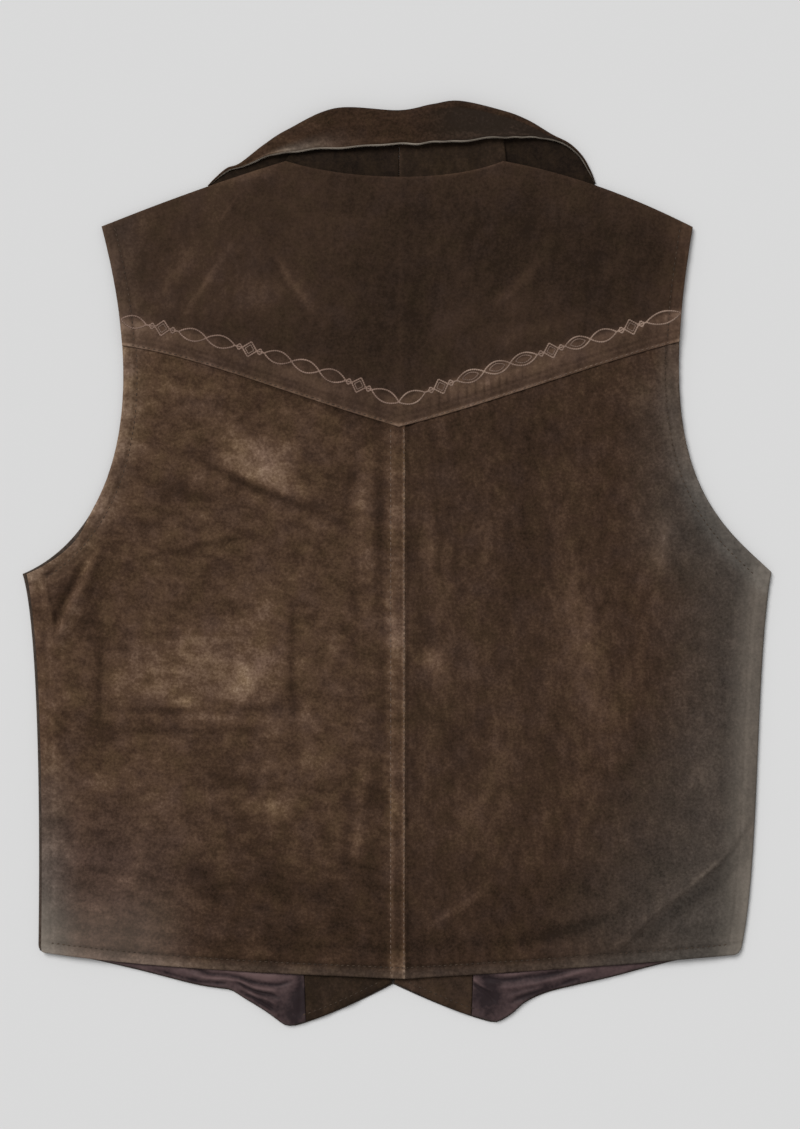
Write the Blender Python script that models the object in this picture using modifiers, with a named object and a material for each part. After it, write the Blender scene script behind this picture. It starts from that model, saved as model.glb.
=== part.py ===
"""Suede vest laid out face down: fronts and lapels underneath, back and turned-over collar on top."""

from collections import namedtuple
from math import comb

import bmesh
import bpy
import numpy as np

# Lengths are in metres. X runs to the wearer's right, Y up the back, Z up from the surface.

# Cloth thicknesses and the gaps between sewn or stacked pieces
SUEDE = 0.0012
LINING = 0.0010
COLLAR = 0.0018
SEAM_GAP = 0.0003
LAYER_GAP = 0.0004
LAYER = SUEDE + LAYER_GAP

# Heights of the back above the fronts
BACK_LOFT = 0.0052
FREE_EDGE_DROP = 0.0012
EDGE_ROLL = 0.014
FOLD_FADE = 0.016

# Seams and insets
CENTRE_BACK_X = 0.0052
CENTRE_LAP = 0.012
YOKE_LAP = 0.008
YOKE_POINT = (0.0015, 0.1045)
YOKE_SIDE_Y = 0.1665
FRONT_GAP = 0.0008
CENTRE_FRONT_X = -0.0030
FRONT_BREAK_Y = 0.070
SIDE_RIM = 0.0020
LINING_INSET = 0.014
HEM_INSET = 0.003
SHOULDER_INSET = 0.018
FACING_WIDTH = 0.066
FACING_SHOULDER_SHARE = 0.32
FACING_WAIST_OUT = 0.012
FACING_WAIST_Y = 0.010
LAPEL_TIP = (0.008, 0.004)

# Where one piece lies on another it is raised this far past the lap, then eases down over the ramp
LAPEL_MARGIN, LAPEL_RAMP = 0.030, 0.090
CENTRE_MARGIN, CENTRE_RAMP = 0.018, 0.024
YOKE_MARGIN, YOKE_RAMP = 0.014, 0.020
RIDGE_MARGIN, RIDGE_RAMP = 0.024, 0.030

# Collar
COLLAR_RETURN = 0.012
LEAF_DROP = 0.0006
NECK_OVERLAP = 0.004

# Quads across and along each kind of panel
BACK_GRID = (20, 26)
YOKE_GRID = (30, 10)
FRONT_GRID = (12, 20)
FACING_COLUMNS = 3
LINING_COLUMNS = 7
COLLAR_STEPS = 3
COLLAR_FALL_ROWS = 3
COLLAR_ARC = 6
UNDERCOLLAR_ROWS = 4
LAPEL_ROWS = 14

# Share of each panel's long edge where its corner lies
UNDERARM_SHARE = 0.58
FRONT_UNDERARM_SHARE = 0.50
FRONT_BREAK_SHARE = 0.60
FRONT_TIP_SHARE = 1 / 3
NECK_COLUMN = 6

# Corners of each half as (x, y), with the handles of the curves between them
Half = namedtuple(
    "Half",
    "side neck_point shoulder_handle shoulder_tip armhole_high armhole_low underarm "
    "side_high side_low hem_corner hem_outer hem_inner yoke_outer yoke_inner "
    "front_outer front_middle front_inner front_tip cutaway lapel_high lapel_low",
)
HALVES = (
    Half(
        side=-1,
        neck_point=(-0.0844, 0.3059),
        shoulder_handle=(-0.1460, 0.2885),
        shoulder_tip=(-0.2240, 0.2540),
        armhole_high=(-0.2010, 0.1640),
        armhole_low=(-0.1890, 0.0410),
        underarm=(-0.2850, -0.0080),
        side_high=(-0.2735, -0.0450),
        side_low=(-0.2712, -0.1800),
        hem_corner=(-0.2730, -0.2955),
        hem_outer=(-0.1900, -0.3040),
        hem_inner=(-0.0950, -0.3080),
        yoke_outer=(-0.1500, 0.1580),
        yoke_inner=(-0.0900, 0.1320),
        front_outer=(-0.1950, -0.3080),
        front_middle=(-0.1180, -0.3180),
        front_inner=(-0.1120, -0.3380),
        front_tip=(-0.0785, -0.3515),
        cutaway=(-0.0500, -0.3450),
        lapel_high=(-0.1420, 0.1900),
        lapel_low=(-0.0950, 0.1000),
    ),
    Half(
        side=1,
        neck_point=(0.0806, 0.3059),
        shoulder_handle=(0.1500, 0.2950),
        shoulder_tip=(0.2250, 0.2540),
        armhole_high=(0.2060, 0.1650),
        armhole_low=(0.2040, 0.0450),
        underarm=(0.2850, -0.0065),
        side_high=(0.2720, -0.0820),
        side_low=(0.2770, -0.2330),
        hem_corner=(0.2614, -0.2950),
        hem_outer=(0.1700, -0.3040),
        hem_inner=(0.0700, -0.3090),
        yoke_outer=(0.1500, 0.1520),
        yoke_inner=(0.0750, 0.1280),
        front_outer=(0.1900, -0.3050),
        front_middle=(0.1250, -0.3200),
        front_inner=(0.1000, -0.3310),
        front_tip=(0.0770, -0.3485),
        cutaway=(0.0480, -0.3440),
        lapel_high=(0.1440, 0.1900),
        lapel_low=(0.0890, 0.1000),
    ),
)
LEFT, RIGHT = HALVES
HEM_CENTRE_Y = -0.3153
FRONT_APEX_Y = -0.3200
NECK_HANDLES = ((-0.0400, 0.2910), (0.0400, 0.2880))

# Collar sections from the wearer's left: the roll's outermost point, the leaf edge and the height
CollarSection = namedtuple("CollarSection", "roll_x roll_y leaf_x leaf_y height")
COLLAR_SECTIONS = (
    CollarSection(-0.1395, 0.2960, -0.1372, 0.2919, 0.0040),
    CollarSection(-0.1195, 0.3062, -0.1166, 0.3014, 0.0046),
    CollarSection(-0.1010, 0.3198, -0.0950, 0.3085, 0.0070),
    CollarSection(-0.0830, 0.3310, -0.0740, 0.3118, 0.0085),
    CollarSection(-0.0464, 0.3468, -0.0370, 0.3154, 0.0092),
    CollarSection(0.0015, 0.3452, 0.0018, 0.3175, 0.0090),
    CollarSection(0.0266, 0.3490, 0.0270, 0.3188, 0.0092),
    CollarSection(0.0480, 0.3515, 0.0480, 0.3200, 0.0094),
    CollarSection(0.0810, 0.3440, 0.0800, 0.3228, 0.0092),
    CollarSection(0.0996, 0.3370, 0.0980, 0.3226, 0.0080),
    CollarSection(0.1180, 0.3265, 0.1150, 0.3200, 0.0060),
    CollarSection(0.1345, 0.3180, 0.1302, 0.3142, 0.0050),
    CollarSection(0.1452, 0.3050, 0.1402, 0.3030, 0.0046),
    CollarSection(0.1510, 0.2960, 0.1464, 0.2946, 0.0042),
)
LEFT_NECK_SECTION, CENTRE_SECTION, RIGHT_NECK_SECTION = 3, 5, 8
LAST_SECTION = len(COLLAR_SECTIONS) - 1

# Folds of the back: crest from start to end, bowed sideways, above or below the cloth around it
Fold = namedtuple("Fold", "x0 y0 x1 y1 bow height width")
FOLDS = (
    Fold(0.252, -0.206, 0.162, -0.282, 0.014, 0.0045, 0.011),
    Fold(0.252, -0.236, 0.190, -0.286, 0.008, -0.0012, 0.010),
    Fold(-0.226, 0.014, -0.254, -0.080, 0.004, 0.0028, 0.009),
    Fold(-0.144, 0.084, -0.048, 0.044, 0.004, 0.0018, 0.014),
    Fold(-0.026, 0.074, -0.028, -0.216, 0.000, 0.0014, 0.011),
    Fold(0.136, 0.012, 0.154, -0.104, 0.006, 0.0018, 0.017),
    Fold(0.196, 0.034, 0.212, -0.034, 0.004, 0.0016, 0.010),
    Fold(-0.184, -0.218, -0.122, -0.272, 0.006, -0.0010, 0.012),
)


# Curves and patches

def bezier(*handles):
    """Dense points on the Bezier curve with these handles."""
    t = np.linspace(0, 1, 161)[:, None]
    degree = len(handles) - 1
    weights = [comb(degree, k) * t**k * (1 - t) ** (degree - k) for k in range(degree + 1)]
    return sum(weight * np.array(handle) for weight, handle in zip(weights, handles))


def smooth_through(rows, count):
    """Rows at even steps along a Catmull-Rom curve through the given rows."""
    rows = np.asarray(rows)
    padded = np.vstack([2 * rows[0] - rows[1], rows, 2 * rows[-1] - rows[-2]])
    place = np.linspace(0, len(rows) - 1, count)
    step = np.minimum(place.astype(int), len(rows) - 2)
    t = (place - step)[:, None]
    before, start, end, after = (padded[step + k] for k in range(4))
    slope_in = (end - before) / 2
    slope_out = (after - start) / 2
    rise = 3 * t**2 - 2 * t**3
    return (
        start * (1 - rise)
        + end * rise
        + slope_in * t * (1 - t) ** 2
        - slope_out * t**2 * (1 - t)
    )


def along(points, share):
    """Points at these shares of a curve's length."""
    points = np.asarray(points)
    steps = np.linalg.norm(np.diff(points, axis=0), axis=1)
    length = np.concatenate([[0], np.cumsum(steps)])
    place = np.asarray(share) * length[-1]
    return np.stack([np.interp(place, length, column) for column in points.T], axis=-1)


def chain(share, corner, first, second):
    """Points along two joined curves whose shared end lies at the share called corner."""
    before = share <= corner
    return np.vstack(
        [
            along(first, share[before] / corner),
            along(second, (share[~before] - corner) / (1 - corner)),
        ]
    )


def edge_spaced(count):
    """Shares from 0 to 1, closer together near both ends."""
    even = np.linspace(0, 1, count + 1)
    return (even + (1 - np.cos(np.pi * even)) / 2) / 2


def with_corner(count, corner):
    """Shares from 0 to 1 that include the share called corner."""
    first = round(count * corner)
    return np.concatenate(
        [np.linspace(0, corner, first + 1), np.linspace(corner, 1, count - first + 1)[1:]]
    )


def patch(bottom, top, start, end, u, v):
    """Grid of points between four edges, each sampled at the shares u or v (a Coons patch)."""
    u = u[None, :, None]
    v = v[:, None, None]
    between_rows = (1 - v) * bottom[None] + v * top[None]
    between_columns = (1 - u) * start[:, None] + u * end[:, None]
    corners = (1 - v) * ((1 - u) * bottom[0] + u * bottom[-1])
    corners = corners + v * ((1 - u) * top[0] + u * top[-1])
    return between_rows + between_columns - corners


def smooth_step(t):
    t = np.clip(t, 0, 1)
    return 3 * t**2 - 2 * t**3


def lap(off, margin, ramp):
    """1 up to the margin, easing to 0 over the ramp after it."""
    return smooth_step(1 - (off - margin) / ramp)


def distance(plan, curve):
    """Distance in plan from each grid point to the nearest point of a dense curve."""
    gaps = plan[..., None, :] - curve[None, None]
    return np.sqrt((gaps**2).sum(-1)).min(-1)


# Outlines of a half

def armhole(half):
    return bezier(half.underarm, half.armhole_low, half.armhole_high, half.shoulder_tip)


def side_seam(half):
    return bezier(half.hem_corner, half.side_low, half.side_high, half.underarm)


def shoulder(half):
    return bezier(half.neck_point, half.shoulder_handle, half.shoulder_tip)


def hem(half):
    return bezier((CENTRE_BACK_X, HEM_CENTRE_Y), half.hem_inner, half.hem_outer, half.hem_corner)


def yoke_seam(half):
    """Lower edge of the yoke from its point out to the armhole."""
    end = armhole_at(half, YOKE_SIDE_Y)
    return bezier(YOKE_POINT, half.yoke_inner, half.yoke_outer, end)


def armhole_at(half, y):
    curve = armhole(half)
    return np.array([np.interp(y, curve[:, 1], curve[:, 0]), y])


def armhole_part(half, low, high):
    """The stretch of the armhole between two heights."""
    curve = armhole(half)
    inside = curve[(curve[:, 1] > low) & (curve[:, 1] < high)]
    return np.vstack([armhole_at(half, low), inside, armhole_at(half, high)])


def neckline():
    return bezier(LEFT.neck_point, *NECK_HANDLES, RIGHT.neck_point)


def front_edge_x(half):
    return CENTRE_FRONT_X + half.side * FRONT_GAP / 2


def collar_lines():
    """Roll points, inward directions, depths and heights at even steps along the collar."""
    rows = smooth_through(COLLAR_SECTIONS, LAST_SECTION * COLLAR_STEPS + 1)
    roll = rows[:, 0:2]
    inward = rows[:, 2:4] - roll
    depth = np.linalg.norm(inward, axis=1, keepdims=True)
    return roll, inward / depth, depth, rows[:, 4:5]


def collar_return(depth):
    """How far the collar's edge is returned underneath, from the roll inwards."""
    return np.minimum(COLLAR_RETURN, depth - LAYER_GAP)


def collar_seam(first, last):
    """The line beside the collar's returned edge, from one section to another."""
    roll, inward, depth, height = collar_lines()
    line = roll + inward * (collar_return(depth) + SEAM_GAP)
    return line[first * COLLAR_STEPS : last * COLLAR_STEPS + 1]


def lapel_edge(half):
    """Free edge of a lapel, from the front's break up to the collar's end."""
    seam = collar_seam(0, LAST_SECTION)
    collar_end = seam[0] if half.side < 0 else seam[-1]
    tip = (front_edge_x(half) + half.side * LAPEL_TIP[0], FRONT_BREAK_Y - LAPEL_TIP[1])
    return bezier(tip, half.lapel_low, half.lapel_high, collar_end)


# Heights of the stacked layers

def lapel_lift(plan):
    """How far the lapels raise what lies on them."""
    lift = np.zeros(plan.shape[:-1])
    for half in HALVES:
        edge = lapel_edge(half)
        edge_x = np.interp(plan[..., 1], edge[:, 1], np.abs(edge[:, 0]))
        past_edge = lap(plan[..., 0] * half.side - edge_x, LAPEL_MARGIN, LAPEL_RAMP)
        below_break = lap(FRONT_BREAK_Y - plan[..., 1], LAPEL_MARGIN, LAPEL_RAMP)
        lift = np.where(plan[..., 0] * half.side >= 0, past_edge * below_break * LAYER, lift)
    return lift


def fold_heights(plan):
    """Sum of the folds: each a rounded ridge along a bowed crest that fades at both ends."""
    height = np.zeros(plan.shape[:-1])
    for fold in FOLDS:
        start = np.array([fold.x0, fold.y0])
        run = np.array([fold.x1, fold.y1]) - start
        length = np.linalg.norm(run)
        ahead = run / length
        aside = np.array([-ahead[1], ahead[0]])
        share = (plan - start) @ ahead / length
        bow = fold.bow * (1 - (2 * share - 1) ** 2)
        off = (plan - start) @ aside - bow
        ends = smooth_step(3 * share) * smooth_step(3 * (1 - share))
        height += fold.height * ends * np.exp(-((off / fold.width) ** 2))
    return height


def back_heights(plan):
    """Underside of the back: low where it is sewn to the fronts, lofted inside."""
    sewn = np.vstack([line(half) for half in HALVES for line in (side_seam, shoulder)])
    free = np.vstack([line(half) for half in HALVES for line in (armhole, hem)] + [neckline()])
    to_sewn = distance(plan, sewn)
    to_free = distance(plan, free)
    loft = BACK_LOFT - LAYER - FREE_EDGE_DROP * np.exp(-to_free / EDGE_ROLL)
    fade = 1 - np.exp(-np.minimum(to_sewn, to_free) / FOLD_FADE)
    rise = 1 - np.exp(-to_sewn / EDGE_ROLL)
    return LAYER + lapel_lift(plan) + loft * rise + fold_heights(plan) * fade


# Panels, each as a grid of points on the cloth's underside

def back_panel(half):
    """Back panel from the centre-back lap out to the side seam, its top under the yoke."""
    columns, rows = BACK_GRID
    u = edge_spaced(columns)
    v = with_corner(rows, UNDERARM_SHARE)
    top_y = YOKE_SIDE_Y + YOKE_LAP
    inner_x = CENTRE_BACK_X if half.side < 0 else CENTRE_BACK_X - CENTRE_LAP
    bottom = along(hem(half), u)
    bottom[0, 0] = inner_x
    top = along(yoke_seam(half) + [0, YOKE_LAP], u)
    top[0, 0] = inner_x
    top[-1] = armhole_at(half, top_y)
    start = along(np.array([bottom[0], top[0]]), v)
    sleeve_edge = armhole_part(half, half.underarm[1], top_y)
    end = chain(v, UNDERARM_SHARE, side_seam(half), sleeve_edge)
    plan = patch(bottom, top, start, end, u, v)
    # The outer columns are drawn in a little, so that the front shows as a rim.
    plan[..., 0] -= half.side * SIDE_RIM * u[None] ** 8
    height = back_heights(plan)
    if half.side < 0:
        height += LAYER * lap(CENTRE_BACK_X - plan[..., 0], CENTRE_MARGIN, CENTRE_RAMP)
    return np.dstack([plan, height])


def yoke_panel():
    """Yoke from armhole to armhole, its pointed lower edge lapped over the back panels."""
    columns, rows = YOKE_GRID
    half_count = columns // 2
    v = edge_spaced(rows)
    out = edge_spaced(half_count)
    u = np.concatenate([(1 - out[::-1]) / 2, (1 + out[1:]) / 2])
    left_seam = along(yoke_seam(LEFT), out)
    right_seam = along(yoke_seam(RIGHT), out)
    bottom = np.vstack([left_seam[::-1], right_seam[1:]])
    neck = neckline()
    middle = len(neck) // 2
    left_top = chain(out, out[NECK_COLUMN], neck[middle::-1], shoulder(LEFT))
    right_top = chain(out, out[NECK_COLUMN], neck[middle:], shoulder(RIGHT))
    top = np.vstack([left_top[::-1], right_top[1:]])
    start, end = (
        along(armhole_part(half, YOKE_SIDE_Y, half.shoulder_tip[1]), v) for half in HALVES
    )
    plan = patch(bottom, top, start, end, u, v)
    seam = np.vstack([yoke_seam(LEFT), yoke_seam(RIGHT)])
    over_backs = lap(distance(plan, seam), YOKE_MARGIN, YOKE_RAMP)
    over_centre = lap(np.abs(plan[..., 0]), RIDGE_MARGIN, RIDGE_RAMP)
    return np.dstack([plan, back_heights(plan) + LAYER * over_backs * (1 + over_centre)])


def front_shares():
    """Shares up a front layer that include its break."""
    return with_corner(FRONT_GRID[1], FRONT_BREAK_SHARE)


def front_hem(half, end, inset):
    """Lower edge of a front layer from its point out to the side, raised by the inset."""
    rise = np.array([0, inset])
    handles = (half.front_tip, half.front_inner, half.front_middle, half.front_outer)
    return bezier(*(np.array(handle) + rise for handle in handles), end)


def front_inner_line(half, v, inset):
    """Centre-front edge up to the break, then the roll line of the lapel to the shoulder."""
    x = front_edge_x(half) + half.side * inset
    break_point = (x, FRONT_BREAK_Y)
    straight = np.array([(x, FRONT_APEX_Y + inset), break_point])
    neck_point = np.array(half.neck_point) + [half.side * inset, -SHOULDER_INSET * (inset > 0)]
    return chain(v, FRONT_BREAK_SHARE, straight, np.array([break_point, neck_point]))


def front_panel(half):
    """Outer suede front with its pointed hem."""
    u = np.linspace(0, 1, FRONT_GRID[0] + 1)
    v = front_shares()
    inner = front_inner_line(half, v, 0)
    outer = chain(v, FRONT_UNDERARM_SHARE, side_seam(half), armhole(half))
    cutaway = bezier(inner[0], half.cutaway, half.front_tip)
    bottom = chain(u, FRONT_TIP_SHARE, cutaway, front_hem(half, half.hem_corner, 0))
    top = along(shoulder(half), u)
    plan = patch(bottom, top, inner, outer, u, v)
    return np.dstack([plan, lapel_lift(plan)])


def facing_line(half, v, aside):
    """Seam between a front's facing and its lining, from the hem to the shoulder."""
    foot_x = front_edge_x(half) + half.side * (FACING_WIDTH + aside)
    cutaway = bezier((front_edge_x(half), FRONT_APEX_Y), half.cutaway, half.front_tip)
    foot_y = np.interp(abs(foot_x), np.abs(cutaway[:, 0]), cutaway[:, 1]) + HEM_INSET
    head = along(shoulder(half), FACING_SHOULDER_SHARE) + [half.side * aside, -SHOULDER_INSET]
    waist = (foot_x + half.side * FACING_WAIST_OUT, FACING_WAIST_Y)
    return along(bezier((foot_x, foot_y), waist, head), v)


def facing_panel(half):
    """Suede facing that lies on the front's inside along its edge."""
    u = np.linspace(0, 1, FACING_COLUMNS + 1)
    v = front_shares()
    inner = front_inner_line(half, v, HEM_INSET)
    outer = facing_line(half, v, 0)
    cutaway = bezier(inner[0], np.array(half.cutaway) + [0, HEM_INSET], outer[0])
    bottom = along(cutaway, u)
    top = along(np.array([inner[-1], outer[-1]]), u)
    plan = patch(bottom, top, inner, outer, u, v)
    return np.dstack([plan, lapel_lift(plan) + LAYER])


def lining_panel(half):
    """Satin lining from the facing out to the side seam and armhole."""
    u = np.linspace(0, 1, LINING_COLUMNS + 1)
    v = front_shares()
    inner = facing_line(half, v, SEAM_GAP)
    outer = chain(v, FRONT_UNDERARM_SHARE, side_seam(half), armhole(half))
    outer = outer - [half.side * LINING_INSET, 0]
    # The top quarter of the outer edge is drawn down clear of the shoulder seam.
    outer[:, 1] -= SHOULDER_INSET * smooth_step(4 * v - 3)
    lower = front_hem(half, outer[0], HEM_INSET)
    bottom = chain(u, u[1], np.array([inner[0], lower[0]]), lower)
    top = along(np.array([inner[-1], outer[-1]]), u)
    plan = patch(bottom, top, inner, outer, u, v)
    return np.dstack([plan, lapel_lift(plan) + LAYER])


def lapel_panel(half):
    """Front end of the collar, folded under the front along the roll line."""
    if half.side < 0:
        top = collar_seam(0, LEFT_NECK_SECTION)[::-1]
    else:
        top = collar_seam(RIGHT_NECK_SECTION, LAST_SECTION)
    u = np.linspace(0, 1, len(top))
    v = np.linspace(0, 1, LAPEL_ROWS + 1)
    outer = along(lapel_edge(half), v)
    break_point = (front_edge_x(half), FRONT_BREAK_Y)
    inner = along(np.array([break_point, half.neck_point, top[0]]), v)
    bottom = along(np.array([inner[0], outer[0]]), u)
    plan = patch(bottom, top, inner, outer, u, v)
    return np.dstack([plan, np.zeros(plan.shape[:2])])


def undercollar_panel(half):
    """Half of the collar stand, from the centre-back seam to the shoulder."""
    if half.side < 0:
        top = collar_seam(LEFT_NECK_SECTION, CENTRE_SECTION)[::-1]
    else:
        top = collar_seam(CENTRE_SECTION, RIGHT_NECK_SECTION)
    u = np.linspace(0, 1, len(top))
    v = np.linspace(0, 1, UNDERCOLLAR_ROWS + 1)
    neck = neckline() - [0, NECK_OVERLAP]
    neck_x = np.linspace(top[0, 0], half.neck_point[0] - half.side * NECK_OVERLAP, len(top))
    bottom = np.stack([neck_x, np.interp(neck_x, neck[:, 0], neck[:, 1])], axis=-1)
    for edge in (top, bottom):
        edge[0, 0] += half.side * SEAM_GAP / 2
        edge[-1, 0] -= half.side * SEAM_GAP * 2
    start = along(np.array([bottom[0], top[0]]), v)
    end = along(np.array([bottom[-1], top[-1]]), v)
    plan = patch(bottom, top, start, end, u, v)
    height = LAYER * smooth_step(1 - v)[:, None] * np.ones(len(u))
    return np.dstack([plan, height])


def collar_fall_panel():
    """Turned-over collar: leaf edge, top, rounded roll and the returned edge on the surface."""
    roll, inward, depth, height = collar_lines()
    radius = height / 2
    rows = []
    for share in np.linspace(1, 0, COLLAR_FALL_ROWS, endpoint=False):
        rows.append((radius + (depth - radius) * share, height - LEAF_DROP * share))
    for angle in np.linspace(np.pi / 2, -np.pi / 2, COLLAR_ARC + 1):
        rows.append((radius - radius * np.cos(angle), radius + radius * np.sin(angle)))
    rows.append((collar_return(depth), np.zeros_like(height)))
    return np.array([np.hstack([roll + inward * out, z]) for out, z in rows])


# Blender objects

def material(name, colour, roughness):
    made = bpy.data.materials.new(name)
    made.use_nodes = True
    shader = made.node_tree.nodes["Principled BSDF"]
    shader.inputs["Base Color"].default_value = (*colour, 1)
    shader.inputs["Roughness"].default_value = roughness
    shader.inputs["Metallic"].default_value = 0
    return made


def cloth(name, points, thickness, finish, collection, offset=1):
    """Cloth object: a grid moved to the given points and thickened to one side."""
    if points[0, 0, 0] > points[0, -1, 0]:
        points = points[:, ::-1]
    rows, columns = points.shape[:2]
    mesh = bpy.data.meshes.new(name)
    grid = bmesh.new()
    bmesh.ops.create_grid(grid, x_segments=columns - 1, y_segments=rows - 1, size=1)
    for vertex, place in zip(grid.verts, points.reshape(-1, 3)):
        vertex.co = place
    grid.to_mesh(mesh)
    grid.free()
    mesh.shade_smooth()
    mesh.materials.append(finish)
    piece = bpy.data.objects.new(name, mesh)
    collection.objects.link(piece)
    solidify = piece.modifiers.new("Cloth", "SOLIDIFY")
    solidify.thickness = thickness
    solidify.offset = offset
    return piece


def main():
    for leftover in list(bpy.data.objects):
        bpy.data.objects.remove(leftover)
    vest = bpy.data.collections.new("suede_vest")
    bpy.context.scene.collection.children.link(vest)
    suede = material("brown suede", (0.055, 0.034, 0.023), 0.95)
    facing = material("dark brown suede", (0.034, 0.022, 0.015), 0.95)
    satin = material("plum-brown satin", (0.065, 0.042, 0.038), 0.4)

    for half in HALVES:
        side = "left" if half.side < 0 else "right"
        cloth(f"back_{side}", back_panel(half), SUEDE, suede, vest)
        cloth(f"front_{side}", front_panel(half), SUEDE, suede, vest)
        cloth(f"facing_{side}", facing_panel(half), SUEDE, facing, vest)
        cloth(f"lining_{side}", lining_panel(half), LINING, satin, vest)
        cloth(f"lapel_{side}", lapel_panel(half), SUEDE, suede, vest)
        cloth(f"undercollar_{side}", undercollar_panel(half), SUEDE, facing, vest)
    cloth("back_yoke", yoke_panel(), SUEDE, suede, vest)
    cloth("collar_fall", collar_fall_panel(), COLLAR, suede, vest, offset=-1)


main()
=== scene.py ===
# Suede vest laid out face down, back up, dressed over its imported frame
from math import comb, radians

import bpy
import numpy as np
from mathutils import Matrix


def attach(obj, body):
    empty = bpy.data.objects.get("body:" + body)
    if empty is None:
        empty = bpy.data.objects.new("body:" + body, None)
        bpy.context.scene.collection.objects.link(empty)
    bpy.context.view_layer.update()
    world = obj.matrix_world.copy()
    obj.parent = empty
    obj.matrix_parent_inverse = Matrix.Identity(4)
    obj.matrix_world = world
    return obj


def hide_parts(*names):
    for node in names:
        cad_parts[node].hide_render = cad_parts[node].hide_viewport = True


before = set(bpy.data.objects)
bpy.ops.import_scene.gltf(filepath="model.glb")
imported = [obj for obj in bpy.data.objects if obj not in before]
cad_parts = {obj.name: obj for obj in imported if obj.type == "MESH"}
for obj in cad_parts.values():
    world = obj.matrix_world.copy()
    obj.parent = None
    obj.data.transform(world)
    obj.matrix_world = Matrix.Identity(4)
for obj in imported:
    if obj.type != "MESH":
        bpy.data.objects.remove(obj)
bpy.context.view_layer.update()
scene = bpy.context.scene
mm = 0.001

# The cut. Lengths are in mm until a mesh is made: X to the wearer's right, Y up the back, Z up from the surface.
# Corners of each half with the handles of the curves between them.
leftHalf = {
    "name": "left", "side": -1,
    "neckPoint": (-84.4, 305.9), "shoulderHandle": (-146, 287.5), "shoulderTip": (-224.6, 256.2),
    "armholeHigh": (-179.8, 87.8), "armholeLow": (-234.5, 12.8), "underarm": (-285, -8),
    "sideHigh": (-273.5, -45), "sideLow": (-271.2, -180), "hemCorner": (-273, -295.5),
    "hemOuter": (-190, -306.8), "hemInner": (-95, -312.2),
    "yokeOuter": (-150, 156.7), "yokeInner": (-90, 130.5), "yokeSideY": 165.5,
    "frontHem": (
        (-86.8, -350.6), (-99.8, -341.1), (-116, -331.1), (-125.9, -325),
        (-135.6, -323.3), (-155, -320), (-200.7, -308.4), (-246, -298.5),
    ),
    "frontTip": (-81.5, -352.9), "cutaway": (-50, -345), "facingWidth": 66,
    "lapelHigh": (-142, 190), "lapelLow": (-95, 100),
}
rightHalf = {
    "name": "right", "side": 1,
    "neckPoint": (80.6, 305.9), "shoulderHandle": (150, 293.6), "shoulderTip": (224.9, 255.8),
    "armholeHigh": (191.8, 65.9), "armholeLow": (243, 33.1), "underarm": (285, -6.5),
    "sideHigh": (272, -82), "sideLow": (277, -233), "hemCorner": (261.2, -297.2),
    "hemOuter": (170, -305.2), "hemInner": (70, -312.2),
    "yokeOuter": (150, 151.5), "yokeInner": (75, 122), "yokeSideY": 168.5,
    "frontHem": (
        (87, -343.2), (97.8, -334), (114.1, -326.5), (136.9, -320.8),
        (163, -314.8), (192.3, -307), (218.3, -301), (240, -299),
    ),
    "frontTip": (75.7, -350), "cutaway": (48, -344), "facingWidth": 59.5,
    "lapelHigh": (144, 190), "lapelLow": (89, 100),
}
halves = (leftHalf, rightHalf)
cut = {
    "suede": 1.2, "lining": 1.0, "layer": 1.6, "seamGap": 0.3,
    "centreBackX": 6.3, "centreLap": 12, "hemCentreY": -315.3, "yokePoint": (1.5, 103.4), "yokeLap": 8,
    "neckHandles": ((-40, 291), (40, 288)),
    "centreFrontX": -3, "frontGap": 0.15, "frontApexY": -320, "frontBreakY": 70,
    "cornerRound": (1.1, 2.8), "tipRound": (0.9, 3),
}

# Curves and grids


def bezier(*handles):
    # Bezier curve: the handles weighted by the binomial terms of t and 1 - t
    t = np.linspace(0, 1, 61)[:, None]
    degree = len(handles) - 1
    return sum(comb(degree, k) * t**k * (1 - t) ** (degree - k) * np.array(h) for k, h in enumerate(handles))


def smoothThrough(rows, count):
    # Catmull-Rom curve through the rows: each stretch is a cubic whose end slopes are half the chord of its neighbours
    rows = np.asarray(rows, float)
    padded = np.vstack([2 * rows[0] - rows[1], rows, 2 * rows[-1] - rows[-2]])
    place = np.linspace(0, len(rows) - 1, count)
    step = np.minimum(place.astype(int), len(rows) - 2)
    t = (place - step)[:, None]
    before, start, end, after = (padded[step + k] for k in range(4))
    rise = 3 * t**2 - 2 * t**3
    slopes = (end - before) / 2 * t * (1 - t) ** 2 - (after - start) / 2 * t**2 * (1 - t)
    return start * (1 - rise) + end * rise + slopes


def along(points, share):
    # Points at these shares of the curve's length
    points = np.asarray(points, float)
    length = np.concatenate([[0], np.cumsum(np.linalg.norm(np.diff(points, axis=0), axis=1))])
    return np.stack([np.interp(np.asarray(share) * length[-1], length, c) for c in points.T], axis=-1)


def straight(start, end, share):
    return along(np.array([start, end]), share)


def curveLength(points):
    return np.linalg.norm(np.diff(points, axis=0), axis=1).sum()


def chain(share, corner, first, second):
    # Two joined curves whose common end lies at the share called corner
    before = share <= corner
    return np.vstack([along(first, share[before] / corner), along(second, (share[~before] - corner) / (1 - corner))])


def gridShares(bands, *corners):
    # Shares 0 to 1 of a line made of bands (length, step); the nearest one is put on each corner
    lines, reached = [0.0], 0.0
    for length, step in bands:
        lines += list(reached + np.linspace(0, length, max(1, round(length / step)) + 1)[1:])
        reached += length
    shares = np.array(lines) / reached
    for corner in corners:
        shares[np.abs(shares - corner).argmin()] = corner
    return shares


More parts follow.
